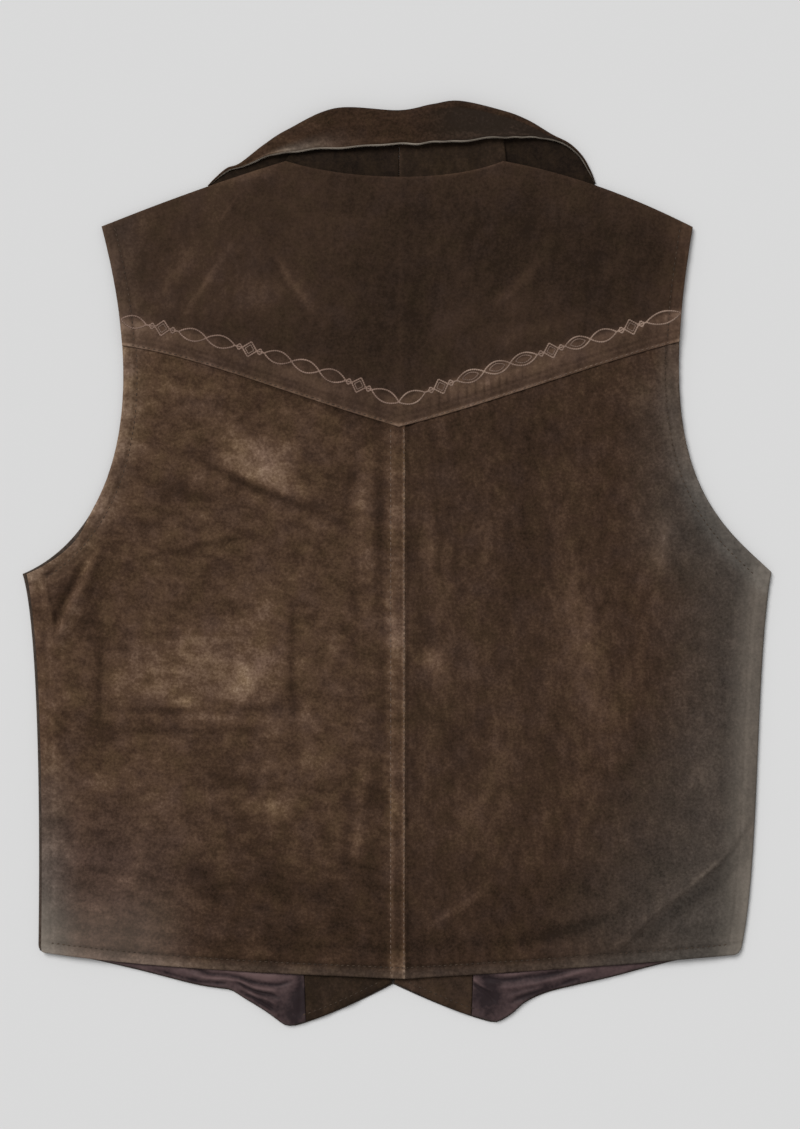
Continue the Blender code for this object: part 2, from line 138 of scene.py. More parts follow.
def coons(bottom, top, start, end, u, v):
    # Coons patch: rows blended between bottom and top, plus columns between start and end, less the corners
    u, v = u[None, :, None], v[:, None, None]
    corners = (1 - v) * ((1 - u) * bottom[0] + u * bottom[-1]) + v * ((1 - u) * top[0] + u * top[-1])
    return (1 - v) * bottom[None] + v * top[None] + (1 - u) * start[:, None] + u * end[:, None] - corners


def ease(value, start, end):
    # 0 up to the start and 1 past the end, either way round, with a smooth cubic step between
    t = np.clip((value - start) / (end - start), 0, 1)
    return 3 * t**2 - 2 * t**3


def bell(value, middle, width):
    return np.exp(-(((value - middle) / width) ** 2))


def nearest(plan, *curves):
    # Shortest distance in plan from each point to chains of straight pieces
    flat = plan.reshape(-1, 2)
    best = np.full(len(flat), np.inf)
    for curve in curves:
        start, run = curve[:-1], np.diff(curve, axis=0)
        square = np.maximum((run**2).sum(1), 1e-8)
        for part in np.array_split(np.arange(len(flat)), max(1, len(flat) // 5000)):
            gap = flat[part, None] - start
            t = np.clip((gap * run).sum(-1) / square, 0, 1)
            off = np.sqrt(((gap - t[..., None] * run) ** 2).sum(-1)).min(1)
            best[part] = np.minimum(best[part], off)
    return best.reshape(plan.shape[:-1])


def unevenness(plan, seed, wavelength, count=16):
    # Sum of sine waves of mixed length and direction, about 1 high
    total = np.zeros(plan.shape[:-1])
    for turn, phase, stretch in np.random.default_rng(seed).random((count, 3)) * (2 * np.pi, 2 * np.pi, 1):
        run = plan[..., 0] * np.cos(turn) + plan[..., 1] * np.sin(turn)
        total += np.sin(2 * np.pi * run / (wavelength * (0.6 + 0.9 * stretch)) + phase)
    return total / np.sqrt(count / 2)


def pucker(run, off, seed, reach):
    # Short ripples across a stitched line, dying away from it
    phases = np.random.default_rng(seed).random(4) * 2 * np.pi
    return sum(np.sin(2 * np.pi * run / w + p) for w, p in zip((6.1, 8.3, 11.7, 17.9), phases)) / 2 * np.exp(-off / reach)


def turnedEdge(off, turn, puff, pinch):
    # Raised over the cloth turned in along an edge, pinched down along the stitch line at the turn
    return puff * ease(off, turn, turn - 3) - pinch * bell(off, turn, 1.3)


def sewnEdge(run, off, turn, puff, pinch, ripple, seed, reach):
    return turnedEdge(off, turn, puff, pinch) + ripple * pucker(run, off, seed, reach)


# Outlines of a half


def armhole(half):
    return bezier(half["underarm"], half["armholeLow"], half["armholeHigh"], half["shoulderTip"])


def sideSeam(half):
    return bezier(half["hemCorner"], half["sideLow"], half["sideHigh"], half["underarm"])


def shoulder(half):
    return bezier(half["neckPoint"], half["shoulderHandle"], half["shoulderTip"])


def hem(half):
    return bezier((cut["centreBackX"], cut["hemCentreY"]), half["hemInner"], half["hemOuter"], half["hemCorner"])


def softened(plan, corner, shift, reach):
    # The points about a corner drawn in by a bell curve, which rounds it
    return plan + bell(np.linalg.norm(plan - np.array(corner), axis=-1), 0, reach)[..., None] * np.array(shift)


def softCorner(plan, half):
    shift, reach = cut["cornerRound"]
    return softened(plan, half["hemCorner"], (-half["side"] * shift, shift), reach)


def softTip(plan, half):
    shift, reach = cut["tipRound"]
    return softened(plan, half["frontTip"], (0, shift), reach)


def armholeAt(half, y):
    curve = armhole(half)
    return np.array([np.interp(y, curve[:, 1], curve[:, 0]), y])


def armholePart(half, low, high):
    curve = armhole(half)
    inside = curve[(curve[:, 1] > low) & (curve[:, 1] < high)]
    return np.vstack([armholeAt(half, low), inside, armholeAt(half, high)])


def yokeSeam(half):
    return bezier(cut["yokePoint"], half["yokeInner"], half["yokeOuter"], armholeAt(half, half["yokeSideY"]))


def neckline():
    return bezier(leftHalf["neckPoint"], *cut["neckHandles"], rightHalf["neckPoint"])


def frontEdgeX(half):
    return cut["centreFrontX"] + half["side"] * cut["frontGap"] / 2


def cutawayLine(half):
    return bezier((frontEdgeX(half), cut["frontApexY"]), half["cutaway"], half["frontTip"])


def belowYoke(plan):
    # How far a point lies below the yoke's pointed edge, straight down the back
    seam = np.vstack([yokeSeam(leftHalf)[::-1], yokeSeam(rightHalf)[1:]])
    return np.interp(plan[..., 0], seam[:, 0], seam[:, 1]) - plan[..., 1]


# The collar's sections from the wearer's left: the roll's outermost point, the leaf edge and the height
collar = {
    "sections": (
        (-144.2, 287.5, -143.2, 286.9, 1.8), (-138.6, 293.2, -137.0, 292.0, 3.0), (-129.5, 300.8, -127.8, 298.4, 4.0),
        (-119.5, 304.6, -117.2, 301.2, 4.6), (-101.0, 318.6, -95.0, 309.6, 7.0), (-83.0, 329.9, -74.0, 312.4, 8.5),
        (-46.4, 346.0, -37.0, 315.4, 9.2), (1.5, 344.4, 1.8, 317.5, 9.0), (26.6, 349.0, 27.0, 318.8, 9.2),
        (48.0, 351.5, 48.0, 320.0, 9.4), (81.0, 344.0, 80.0, 322.6, 9.2), (99.6, 337.0, 98.0, 323.0, 8.0),
        (118.0, 326.3, 115.8, 321.8, 6.0), (131.2, 319.6, 128.4, 317.4, 5.0), (141.0, 310.2, 138.4, 309.2, 4.2),
        (147.4, 299.1, 145.3, 298.3, 3.2), (151.4, 289.2, 150.2, 289.6, 1.8),
    ),
    "leftNeck": 5, "centre": 7, "rightNeck": 10, "stepsPerSection": 18,
    "thickness": 1.8, "return": 12, "returnShare": 0.6, "leafDrop": 0.6, "rawEdge": 1.0, "cut": (0.395, 0.062),
    "fallRows": 15, "rollRows": 15,
}
stand = {"steps": 20, "rows": 24, "neckOverlap": 4, "pastNeck": 3, "edge": 1.0, "cut": (0.084, 0.052)}
lapel = {
    "steps": 12, "rows": ((210, 6), (50, 2)), "reach": 4, "tip": (8, -4), "insideNeck": 5, "edge": 1.0, "cut": (0.152, 0.270),
}


def collarLines(steps):
    rows = smoothThrough(collar["sections"], (len(collar["sections"]) - 1) * steps + 1)
    roll = rows[:, 0:2]
    inward = rows[:, 2:4] - roll
    depth = np.linalg.norm(inward, axis=1, keepdims=True)
    return roll, inward / depth, depth, rows[:, 4:5]


def collarSeam(steps):
    # Where the stand and the lapels meet the collar's returned edge
    roll, inward, depth = collarLines(steps)[:3]
    return roll + inward * (np.minimum(collar["return"], depth * collar["returnShare"]) + cut["seamGap"])


def lapelEdge(half):
    tip = (frontEdgeX(half) + half["side"] * lapel["tip"][0], cut["frontBreakY"] + lapel["tip"][1])
    return bezier(tip, half["lapelLow"], half["lapelHigh"], collarSeam(lapel["steps"])[0 if half["side"] < 0 else -1])


# Heights of the stacked layers. A fold: crest from x, y to x, y, its bow, height, and width to either side.
# A crease: the points of its crest, height, and width to either side. Unevenness: height, seed and wavelength.
layers = {
    "backLoft": 5.2, "freeEdgeDrop": 1.2, "armholeDrop": 1.2, "edgeRoll": 14, "foldFade": 8, "lapelRamp": (120, 30),
    "uneven": ((0.28, 3, 52), (0.07, 5, 17)),
    "folds": (
        (-212, 40, -232, 8, -2, 0.9, 4, 5), (-200, 30, -216, -30, 3, 0.8, 6, 7), (-150, 77.5, -44, 33, 1, 2.6, 3.4, 17),
        (-152, 68, -70, 33, 1, -1.0, 3.5, 4.5), (-210, 5, -108, 27, -1, 1.3, 9, 2.6), (-25, 88, -28, -216, 0, 1.7, 7, 7),
        (-13, 60, -14, -120, 0, -0.7, 4, 4), (-40, 60, -42, -90, 2, -0.6, 6, 5), (136, 12, 154, -104, 6, 1.7, 10, 13),
        (196, 34, 212, -34, 4, 1.5, 6, 8), (222, 74, 236, 14, 3, 0.9, 4, 6), (208, 60, 222, 0, 3, -0.7, 4, 5),
        (-184, -218, -122, -272, 6, -1.2, 9, 11), (-168, -206, -104, -262, 6, 0.9, 10, 8), (26, -276, 66, -252, 3, 1.0, 4, 6),
        (-228, -122, -112, -131, 2, 0.9, 4, 6), (-226, -132, -120, -140, 2, -0.6, 4, 5), (-75, -24, -77, -112, 0, -0.8, 4, 4),
        (-226, -54, -110, -56, 2, 0.7, 4, 7), (-70, -24, -71, -112, 0, 0.6, 4, 6), (40, 36, 36, -100, 2, 0.8, 6, 7),
        (104, -120, 112, -250, 4, 0.7, 9, 10), (-252, -258, -230, -284, 2, -1.0, 4, 5), (180, -60, 190, -180, 5, 0.7, 9, 10),
        (-110, -150, -60, -200, 6, 0.7, 8, 9), (-200, -170, -150, -178, 3, 0.7, 6, 8), (-96, 222, -62, 192, 2, 0.8, 5, 6),
        (78, 230, 108, 204, -2, 0.7, 5, 6), (-172, 256, -128, 206, 3, 0.6, 8, 8), (60, -180, 52, -262, 3, 0.6, 7, 8),
        (-60, -180, -52, -270, 3, 0.6, 8, 8), (110, 96, 170, 84, 3, 0.5, 8, 9),
    ),
    "creases": (
        (((281, -160), (273, -183), (262, -203.5), (243, -226), (219, -245), (193, -267), (172.5, -288),
          (157, -306)), 2.9, 17, 3.2),
        (((292, -190), (271, -219), (251, -242), (226, -260), (199, -282), (184, -299)), -1.4, 4.5, 14),
        (((215, -238), (187.5, -257.6), (155.3, -271.5), (115.2, -280.3), (87.1, -284.2), (66, -286)), -1.4, 5, 6),
        (((-224, 20), (-228.5, 4.7), (-236, -12.1), (-243.6, -25.6), (-250.3, -37.4), (-255.4, -50.8),
          (-260, -68)), 3.6, 3.4, 5.6),
        (((-226, 16), (-232.6, 3.0), (-241.1, -10.4), (-248.7, -23.9), (-256.2, -40.7), (-261, -60)), -2.2, 5, 2.2),
        (((-225, 18), (-225, 1.4), (-228.5, -20.5), (-237.7, -44.1), (-249.5, -61), (-256.6, -71.9),
          (-262, -84)), -1.8, 3, 7),
        (((-270, -8), (-268.4, -15.1), (-264.3, -31.5), (-259.3, -51.3), (-258, -62)), 1.3, 2.4, 2.2),
        (((-263, -16), (-261.8, -25), (-258.5, -41.5), (-257, -52)), -1.5, 2.4, 3),
        (((-268, -12), (-264.2, -8.5), (-255.2, 1.4), (-245.3, 12.9), (-238, 22)), -1.0, 1.8, 1.8),
        (((-260, -14), (-257.6, -11), (-248.6, -1.9), (-238.7, 7.1), (-230, 17)), -1.0, 1.8, 1.8),
    ),
}


def lapelLift(plan):
    # One layer up over the lapels, easing down past their edge and below the break
    lift = np.zeros(plan.shape[:-1])
    for half in halves:
        edge = lapelEdge(half)
        out = plan[..., 0] * half["side"]
        past = ease(out - np.interp(plan[..., 1], edge[:, 1], np.abs(edge[:, 0])), *layers["lapelRamp"])
        below = ease(cut["frontBreakY"] - plan[..., 1], *layers["lapelRamp"])
        lift = np.where(out >= 0, past * below * cut["layer"], lift)
    return lift


def foldHeights(plan):
    # Each fold is a bell curve across a bowed crest, steeper on one side, that fades at both ends
    height = np.zeros(plan.shape[:-1])
    for x0, y0, x1, y1, bow, rise, before, after in layers["folds"]:
        start = np.array([x0, y0])
        run = np.array([x1, y1]) - start
        length = np.linalg.norm(run)
        ahead = run / length
        share = (plan - start) @ ahead / length
        off = (plan - start) @ np.array([-ahead[1], ahead[0]]) - bow * (1 - (2 * share - 1) ** 2)
        height += rise * ease(share, 0, 0.25) * ease(share, 1, 0.75) * bell(off, 0, np.where(off < 0, before, after))
    return height


def creaseHeights(plan, creases):
    # As above, across the nearest point of a smooth crest through the given points
    flat = plan.reshape(-1, 2)
    rows = np.arange(len(flat))
    height = np.zeros(len(flat))
    for crest, rise, before, after in creases:
        curve = smoothThrough(crest, 6 * len(crest))
        run = np.diff(curve, axis=0)
        gap = flat[:, None] - curve[:-1]
        t = np.clip((gap * run).sum(-1) / (run**2).sum(1), 0, 1)
        away = gap - t[..., None] * run
        far = np.linalg.norm(away, axis=-1)
        best = far.argmin(1)
        share = (best + t[rows, best]) / len(run)
        aside = run[best, 0] * away[rows, best, 1] - run[best, 1] * away[rows, best, 0]
        across = bell(far[rows, best], 0, np.where(aside < 0, before, after))
        height += rise * ease(share, 0, 0.2) * ease(share, 1, 0.8) * across
    return height.reshape(plan.shape[:-1])


def backUnder(plan):
    # Underside of the back: low where it is sewn to the fronts, lofted between, plus folds and a soft unevenness
    toSewn = nearest(plan, *[line(half) for half in halves for line in (sideSeam, shoulder)])
    toHem, toArm = (nearest(plan, *[line(half) for half in halves]) for line in (hem, armhole))
    toFree = np.minimum(np.minimum(toHem, toArm), nearest(plan, neckline()))
    roll = layers["edgeRoll"]
    drop = layers["freeEdgeDrop"] * np.exp(-toFree / roll) + layers["armholeDrop"] * np.exp(-toArm / (0.6 * roll))
    waves = foldHeights(plan) + creaseHeights(plan, layers["creases"])
    waves += sum(height * unevenness(plan, seed, length) for height, seed, length in layers["uneven"])
    fade = 1 - np.exp(-np.minimum(toSewn, toFree) / layers["foldFade"])
    lie = (layers["backLoft"] - cut["layer"] - drop) * (1 - np.exp(-toSewn / roll)) + waves * fade
    return cut["layer"] + lapelLift(plan) + np.maximum(lie, -0.2)


# Wear and painted light: places rubbed lighter by use and darker ones, and painted highlights on fold crests with
# painted shade in the troughs and wedges beside them: centre, turn in degrees, half length, half width, percent
wearAndShade = {
    "marks": (
        (-117, -91, 84, 17, 9, 36), (-99, -36, 70, 13, 10, 34), (-163, -104, -12, 20, 6, 34), (-210, -96, 80, 14, 6, 16),
        (-150, -58, 2, 70, 3, 14), (-176, -84, 5, 34, 12, 16), (-128, -46, 6, 40, 9, 18), (-199, -103, 0, 13, 6, -30),
        (-121, -34, 10, 12, 4, -26), (-170, -32, 2, 34, 4, -18), (-165, -110.5, 1, 58, 3, -32), (-150, -117, -2, 66, 2.2, 30),
        (-150, -127, 0, 68, 4, -26), (-226, -90, 90, 38, 2.6, -30), (-93, -124, 0, 11, 4, 34), (-80, -76, 90, 40, 2.4, -34),
        (-98, -182, 4, 20, 7, 24), (-186, -180, 0, 32, 10, 20), (-78, -158, 0, 24, 9, 25), (-200, -136, 0, 30, 12, 14),
        (-212, -238, 60, 34, 18, 15), (-240, -200, 85, 50, 9, 10), (-100, -256, 0, 70, 13, -8), (-25, 20, 90, 60, 6, 10),
        (2, 267, 0, 40, 12, -11), (-182, 196, 0, 24, 13, 13), (94, 196, 20, 24, 13, 13), (184, 198, 20, 24, 14, 12),
        (-12, 226, 90, 32, 24, 8), (185, 128, 10, 26, 11, 13), (-180, 128, -10, 26, 11, 16), (48, 131, 18, 20, 9, 12),
        (2, 128, 0, 20, 9, -10), (-139, -163, 0, 30, 8, -20), (-94, -185, 0, 20, 10, 16), (-225, -162, 0, 12, 10, 18),
        (-222, -184, -15, 20, 6, -20), (-123, -200, 0, 16, 14, -16), (-139, -254, -40, 26, 9, -16),
        (-163, -215, 0, 18, 12, 12), (-78, -128, 90, 30, 4, -20), (-68, -117, 0, 15, 8, 18), (159, -117, 90, 15, 9, 14),
        (214, -260, 40, 22, 4.5, -10), (216, -248, 38.5, 37, 2.1, 24), (239, -232, 41, 14, 2.6, 24),
        (200, -232, 35, 36, 14, -20), (256, -272, 90, 20, 9, -24), (237, -216, 90, 24, 8, 16), (241, -153, 90, 26, 7, 15),
        (96, -206, 80, 40, 6, -12), (57, -191, 0, 14, 10, 10), (86, -152, 90, 25, 6, 12), (180, 100, 90, 15, 12, -14),
        (201, 14, 98, 22, 6, 18), (127, 18, 95, 17, 6, 13), (68, 18, 0, 13, 12, 9), (244, 14, 120, 13, 4.5, 15),
        (261, 1, -40, 14, 2.6, 22), (230, 26, 100, 26, 7, -13), (149, -70, 85, 20, 7, 10), (-243, -158, 90, 15, 9, -20),
        (-213, -178, 0, 14, 8, -16), (-229, -230, 0, 18, 20, -15), (-265, -271, 90, 13, 10, -17), (-270, -66, 90, 13, 9, -20),
        (-252, -46, 90, 14, 9, -15), (-255, -84, 90, 16, 10, 18), (135, -279, 8, 34, 5, -15), (-27, -90, 90, 70, 5, 12),
        (-27, 56, 80, 20, 8, 20), (-27, 26, 88, 44, 7, 8), (-36, 60, 72, 14, 4, -20), (-27, -182, 84, 40, 4, 24),
        (-30, -211, 72, 11, 3.2, 26), (-28, -226, 85, 14, 5, 18), (-30, -278, 90, 16, 6, 14), (-37, -188, 86, 36, 4, -24),
        (-1, -180, 90, 11, 5, 34), (-29, 30, 86, 46, 6, 10), (-48, -60, 90, 40, 8, 15), (-60, 20, 60, 30, 10, 12),
        (-190, 60, 60, 40, 16, 4), (-210, -10, 72, 32, 7, 8), (139, -62, 100, 42, 15, 34), (133, -24, 95, 22, 8, 24),
        (152, -104, 60, 18, 7, 20), (168, -130, 80, 30, 11, 10), (118, -92, 80, 22, 10, 10), (29, -73, 30, 12, 11, 55),
        (25, 4, 95, 36, 6, 32), (32, -30, 75, 18, 8, 12), (32, -88, 0, 8, 8, 16), (58, -84, 90, 40, 12, 12),
        (76, -150, 85, 50, 12, 16), (44, -263, 32, 24, 4, 50), (54, -190, 80, 40, 10, 14), (20, -176, 90, 60, 6, 16),
        (200, 8, 75, 28, 7, 30), (120, 60, 30, 60, 20, 10), (60, 70, 70, 30, 14, 8), (224, -243.5, 42, 50, 2.0, 42),
        (188, -268, 45, 14, 4, 18), (172, -284, 45, 12, 4, 14), (226, -251, 41, 50, 5, -24), (142, -275, 14, 50, 5, -36),
        (20, -290, 0, 70, 20, -20), (165, -236, 20, 34, 12, -10), (228, -150, 88, 60, 14, 8), (150, -170, 70, 50, 16, 10),
        (-72, 203, -56, 17, 3.4, 48), (-86, 224, -62, 13, 2.6, 34), (-145, 213, 57, 25, 2.4, 36), (-168, 218, 55, 24, 5, 24),
        (-128, 269, 55, 14, 1.4, 26), (-112, 202, 20, 24, 13, 22), (96, 217, 46, 20, 4, 30), (84, 206, 40, 12, 4, 22),
        (40, 186, 60, 20, 10, 14), (-30, 262, 10, 40, 10, 10), (176, 248, -20, 36, 12, -10), (-196, 250, 70, 24, 8, 22),
        (2, 200, 90, 60, 2.5, 16), (110, 151, 18, 46, 6, 19), (64, 135, 18, 26, 5, 20), (98, 175, 14, 30, 9, 14),
        (-70, 140, -18, 50, 6, 16), (0, 214, 90, 60, 30, -22), (90, 262, 0, 60, 22, -12), (170, 200, 60, 40, 22, -14),
        (-50, 170, 0, 40, 16, -12), (100, 100, 0, 70, 24, -16), (96, 20, 80, 60, 16, -18), (60, -130, 80, 50, 10, -12),
        (110, -250, 10, 60, 24, -16), (180, -150, 60, 60, 18, -14), (-200, 10, 50, 44, 12, -14), (-66, 100, 0, 10, 8, 14),
        (-60, -120, 80, 30, 10, -4), (-108, -128, 0, 40, 14, 18), (-60, -126, 0, 26, 15, 14), (-224, -118, 90, 30, 12, -14),
        (-228, -44, 78, 30, 8, -16), (-252, -46, 90, 22, 7, 14), (-12, -70, 90, 200, 3.5, -18), (-4.5, -50, 90, 60, 4, 12),
        (-20.5, -8, 90, 34, 3.5, 10), (2, 6, 90, 30, 5, 14), (3, -62, 90, 20, 5, 14), (40, 48, 90, 16, 12, -10),
        (-150, -222, 40, 40, 10, -16), (-92, -240, 80, 40, 10, -16), (-250, -21, 66, 26, 2.6, -44),
        (-236, -45, 62, 26, 3.2, -36), (-243, -26, 70, 34, 4.4, 28), (-257, -24, 75, 18, 5, -32),
        (-263, -46, 84, 26, 2.4, 30), (-164, 56, -18, 26, 5, -24), (-97, 53.4, -23, 56, 4.6, -36),
        (-131, 69.5, -25, 15, 2.8, -42), (-148, 84, -40, 14, 8, -10), (-124, 67, -24, 22, 2.6, -16),
        (-14, 30, 90, 58, 4, -32), (-42, 40, 80, 30, 6, -14), (18, -120, 90, 60, 5, -14), (-112, -40, 0, 20, 12, 12),
        (-150, 226, 0, 70, 40, 18), (-180, 172, -12, 28, 9, 30), (110, 226, 0, 90, 40, -19), (-108, 297, 14, 28, 5, 36),
        (-9, -14, 90, 26, 9, 20), (0, -62, 90, 16, 5, 24), (-32, -16, 90, 46, 4, -22), (27, -16, 82, 34, 5, -20),
        (-55, -52, 80, 12, 5, -22), (-123, -14, 0, 12, 10, 20), (-123, -43, 4, 14, 4, -22), (-126, -62, 3, 14, 6, 22),
        (-114, -75, 0, 8, 6, -20), (-195, -87, 20, 12, 6, -20), (-172, -107, 0, 10, 4, 22), (-147, -119, 0, 9, 4, -20),
        (-193, -160, 0, 22, 6, -22), (-115, -166, 3, 46, 6, -20), (-215, -198, 3, 40, 6, 16), (-81, -192, 0, 10, 8, 16),
        (-66, -90, 90, 36, 5, 12), (-182, 122, 20, 20, 9, 20), (-165, 144, -8, 34, 4, -14), (-158, 11.5, 12.3, 48, 2.6, -32),
        (-102, 65, -22, 22, 6, 20), (80, -222, 80, 14, 10, -12), (-247, -42, 74, 22, 5, 12), (-71, 211, -58, 20, 3, 24),
        (112, 180, 14, 26, 6, 10), (-168, 222, 55, 26, 3, 10), (120, 164, 19, 46, 4, -8), (191, 112, 80, 24, 8, 14),
        (66, 42, 70, 20, 10, -10), (-28, -60, 90, 230, 13, -13), (-22, -212, 90, 50, 9, -28), (-250, -118, 90, 40, 20, -6),
        (-259, -190, 90, 60, 9, 17), (-130, -282, 0, 120, 18, -3), (-140, 279, 24, 40, 8, 20), (-176, -284, 4, 30, 14, 12),
        (27, -250, 0, 46, 34, -13), (1, -32, 90, 26, 12, 12),
    ),
    "patches": (
        (-109, 79, -14, 30, 19, 46), (-95, 68, -23, 19, 11, 26), (-151, -83, 0, 70, 26, 26), (-131, -80, 0, 46, 22, 10),
        (-190, -160, 0, 50, 18, 4), (-80, -20, 80, 40, 20, -6),
    ),
    "armholeStrip": (23.4, 5.4), "rubbedEdge": 2.6,
}


def rubbedAndShaded(plan, marks, power=2):
    # Sum of marks, each a bell curve along and across; a higher power gives a flat top and a firmer edge
    total = np.zeros(plan.shape[:-1])
    for x, y, turn, length, width, percent in marks:
        c, s = np.cos(radians(turn)), np.sin(radians(turn))
        dx, dy = plan[..., 0] - x, plan[..., 1] - y
        ahead, aside = np.abs((dx * c + dy * s) / length), np.abs((dy * c - dx * s) / width)
        total += percent / 100 * np.exp(-(ahead**power) - aside**power)
    return total


def wornAndShaded(plan, toArm):
    # All marks of wear and painted light, and the light rubbed strip along an armhole
    marks = rubbedAndShaded(plan, wearAndShade["marks"]) + rubbedAndShaded(plan, wearAndShade["patches"], 4)
    return marks, ease(toArm, *wearAndShade["armholeStrip"]), bell(toArm, 0, wearAndShade["rubbedEdge"])


def greyedDustAndSheen(plan):
    # Grey towards the sides, most on the wearer's right and low down: dust, and on the right also a painted sheen
    x, y = plan[..., 0], plan[..., 1]
    low, corner = ease(y, -80, -220), ease(y, -190, -280)
    right = ease(x, 180 - 65 * low - 30 * corner, 285 + 5 * low) * ease(y, 130, 30)
    left = ease(x, -235, -275) * ease(y, -120, -240)
    arm = ease(x, 160, 210) * ease(y, 165, 115) * ease(y, -30, 30)
    return (0.72 + 0.22 * corner) * right + (0.46 + 0.30 * corner) * left + 0.26 * arm


def hazedAndSheen(plan, toSide, half):
    # A pale haze of raised fibres along the side edges, partly painted sheen on the wearer's right side, and over the
    # wearer's left hem corner
    x, y = plan[..., 0], plan[..., 1]
    if half["side"] > 0:
        return 0.092 * ease(toSide, 30, 8) * ease(y, 40, -20) + 0.09 * ease(toSide, 11, 2) * ease(y, -200, -260)
    near = 0.044 + 0.15 * np.exp(-np.maximum(x + 273, 0) / 18)
    return (near * ease(y, -235, -290) + 0.006 * ease(y, -190, -250)) * ease(x, -150, -195)


# Materials


def toLinear(hexColour):
    # sRGB hex to linear: the standard curve, with its straight foot
    c = np.array([int(hexColour[k : k + 2], 16) for k in (1, 3, 5)]) / 255
    return (*np.where(c <= 0.04045, c / 12.92, ((c + 0.055) / 1.055) ** 2.4), 1)


def addNode(tree, kind, inputs=(), **settings):
    # Adds one node; an input that is a socket is linked, any other is set
    made = tree.nodes.new("ShaderNode" + kind)
    for name, value in settings.items():
        setattr(made, name, value)
    for name, value in dict(inputs).items():
        if isinstance(value, bpy.types.NodeSocket):
            tree.links.new(value, made.inputs[name])
        else:
            made.inputs[name].default_value = value
    return made


def newMaterial(name):
    made = bpy.data.materials.new(name)
    made.use_nodes = True
    made.node_tree.nodes.clear()
    return made, made.node_tree, addNode(made.node_tree, "TexCoord").outputs["Object"]


def noise(tree, place, size, detail, roughness=0.5):
    # Noise whose largest spots are about the size in mm
    inputs = {"Vector": place, "Scale": 1 / (size * mm), "Detail": detail, "Roughness": roughness}
    return addNode(tree, "TexNoise", inputs).outputs[0]


def painted(tree, label):
    return addNode(tree, "Attribute", attribute_name=label).outputs["Fac"]


def weigh(tree, value, weight, plus):
    # Value times weight, plus the rest
    return addNode(tree, "Math", {0: value, 1: weight, 2: plus}, operation="MULTIPLY_ADD").outputs[0]


def remap(tree, value, start, end, low, high):
    inputs = {"Value": value, "From Min": start, "From Max": end, "To Min": low, "To Max": high}
    return addNode(tree, "MapRange", inputs).outputs[0]


def blend(tree, share, below, colour, kind="MIX"):
    return addNode(tree, "Mix", {0: share, 6: below, 7: toLinear(colour)}, data_type="RGBA", blend_type=kind).outputs[2]


def ramped(tree, tone, colours):
    ramp = addNode(tree, "ValToRGB", {"Fac": tone})
    stops = ramp.color_ramp.elements
    for k, (position, colour) in enumerate(colours):
        stop = stops[k] if k < 2 else stops.new(position)
        stop.position, stop.color = position, toLinear(colour)
    return ramp.outputs[0]


def finished(tree, colour, height, strength, depth, inputs):
    # The shader, with a bump of this strength and this depth in mm
    raised = addNode(tree, "Bump", {"Strength": strength, "Distance": depth * mm, "Height": height}).outputs[0]
    shader = addNode(tree, "BsdfPrincipled", {"Base Color": colour, "Normal": raised, **inputs})
    addNode(tree, "OutputMaterial", {"Surface": shader.outputs[0]})


def brushedSuede(name, look):
    # Split cowhide, buffed to a nap: quite matt, dark where the nap is raised, paler and smoother where it is rubbed
    made, tree, place = newMaterial(name)
    turn = (0, 0, radians(look["brushTurn"]))
    brushed, drawn = (
        addNode(tree, "Mapping", {"Vector": place, "Rotation": turn, "Scale": (1, draw, 1)}, vector_type="TEXTURE").outputs[0]
        for draw in (4, look["draw"])
    )
    blotch, cloud, stroke = noise(tree, drawn, 22, 2), noise(tree, drawn, 8, 3, 0.55), noise(tree, brushed, 6, 3, 0.6)
    # Nap tufts are about 0.4 mm on the hide; they are drawn at 2.2 mm, so that they show.
    nap = noise(tree, place, 2.2, 3, 0.7)
    rubAndShade, dustAndSheen, bareAndSheen, cast = (painted(tree, label) for label in ("rubAndShade", "dustAndSheen", "bareAndSheen", "mauve"))
    # Tone: base, plus each pattern about its middle, plus the rub and painted shade broken up by the clouds
    tone = look["base"] - sum(look["patterns"]) / 2
    for pattern, weight in zip((blotch, cloud, stroke, nap), look["patterns"]):
        tone = weigh(tree, pattern, weight, tone)
    broken = weigh(tree, rubAndShade, remap(tree, cloud, 0.3, 0.7, 0.92, 1.08), 0)
    colour = ramped(tree, weigh(tree, broken, look["rubAndShade"], tone), look["colours"])
    # The hue drifts to mauve and to olive, and greys with the dust and painted sheen attribute, most between the tufts
    inputs = {"Vector": place, "Scale": 1 / (17 * mm), "Detail": 2, "W": 2.0}
    hue = addNode(tree, "TexNoise", inputs, noise_dimensions="4D").outputs[0]
    for tint, far in (("mauve", 0.72), ("olive", 0.28)):
        colour = blend(tree, remap(tree, hue, 0.5, far, 0, look["drift"]), colour, look[tint], "COLOR")
    colour = blend(tree, cast, colour, look["mauve"], "COLOR")
    colour = blend(tree, dustAndSheen, colour, look["dustAndSheen"], "COLOR")
    colour = blend(tree, weigh(tree, dustAndSheen, remap(tree, nap, 0.3, 0.7, 0.171, 0.513), 0), colour, look["dustAndSheen"])
    # Pale at a raw edge, and where a painted sheen lies along the side edges
    colour = blend(tree, bareAndSheen, colour, look["bareAndSheen"])
    finished(tree, colour, weigh(tree, cloud, 0.5, nap), 0.5, 0.5, {
        "Roughness": 0.95, "Specular IOR Level": 0.08,
        "Sheen Weight": 0.05, "Sheen Roughness": 0.5, "Sheen Tint": toLinear("#8a7464")})
    return made


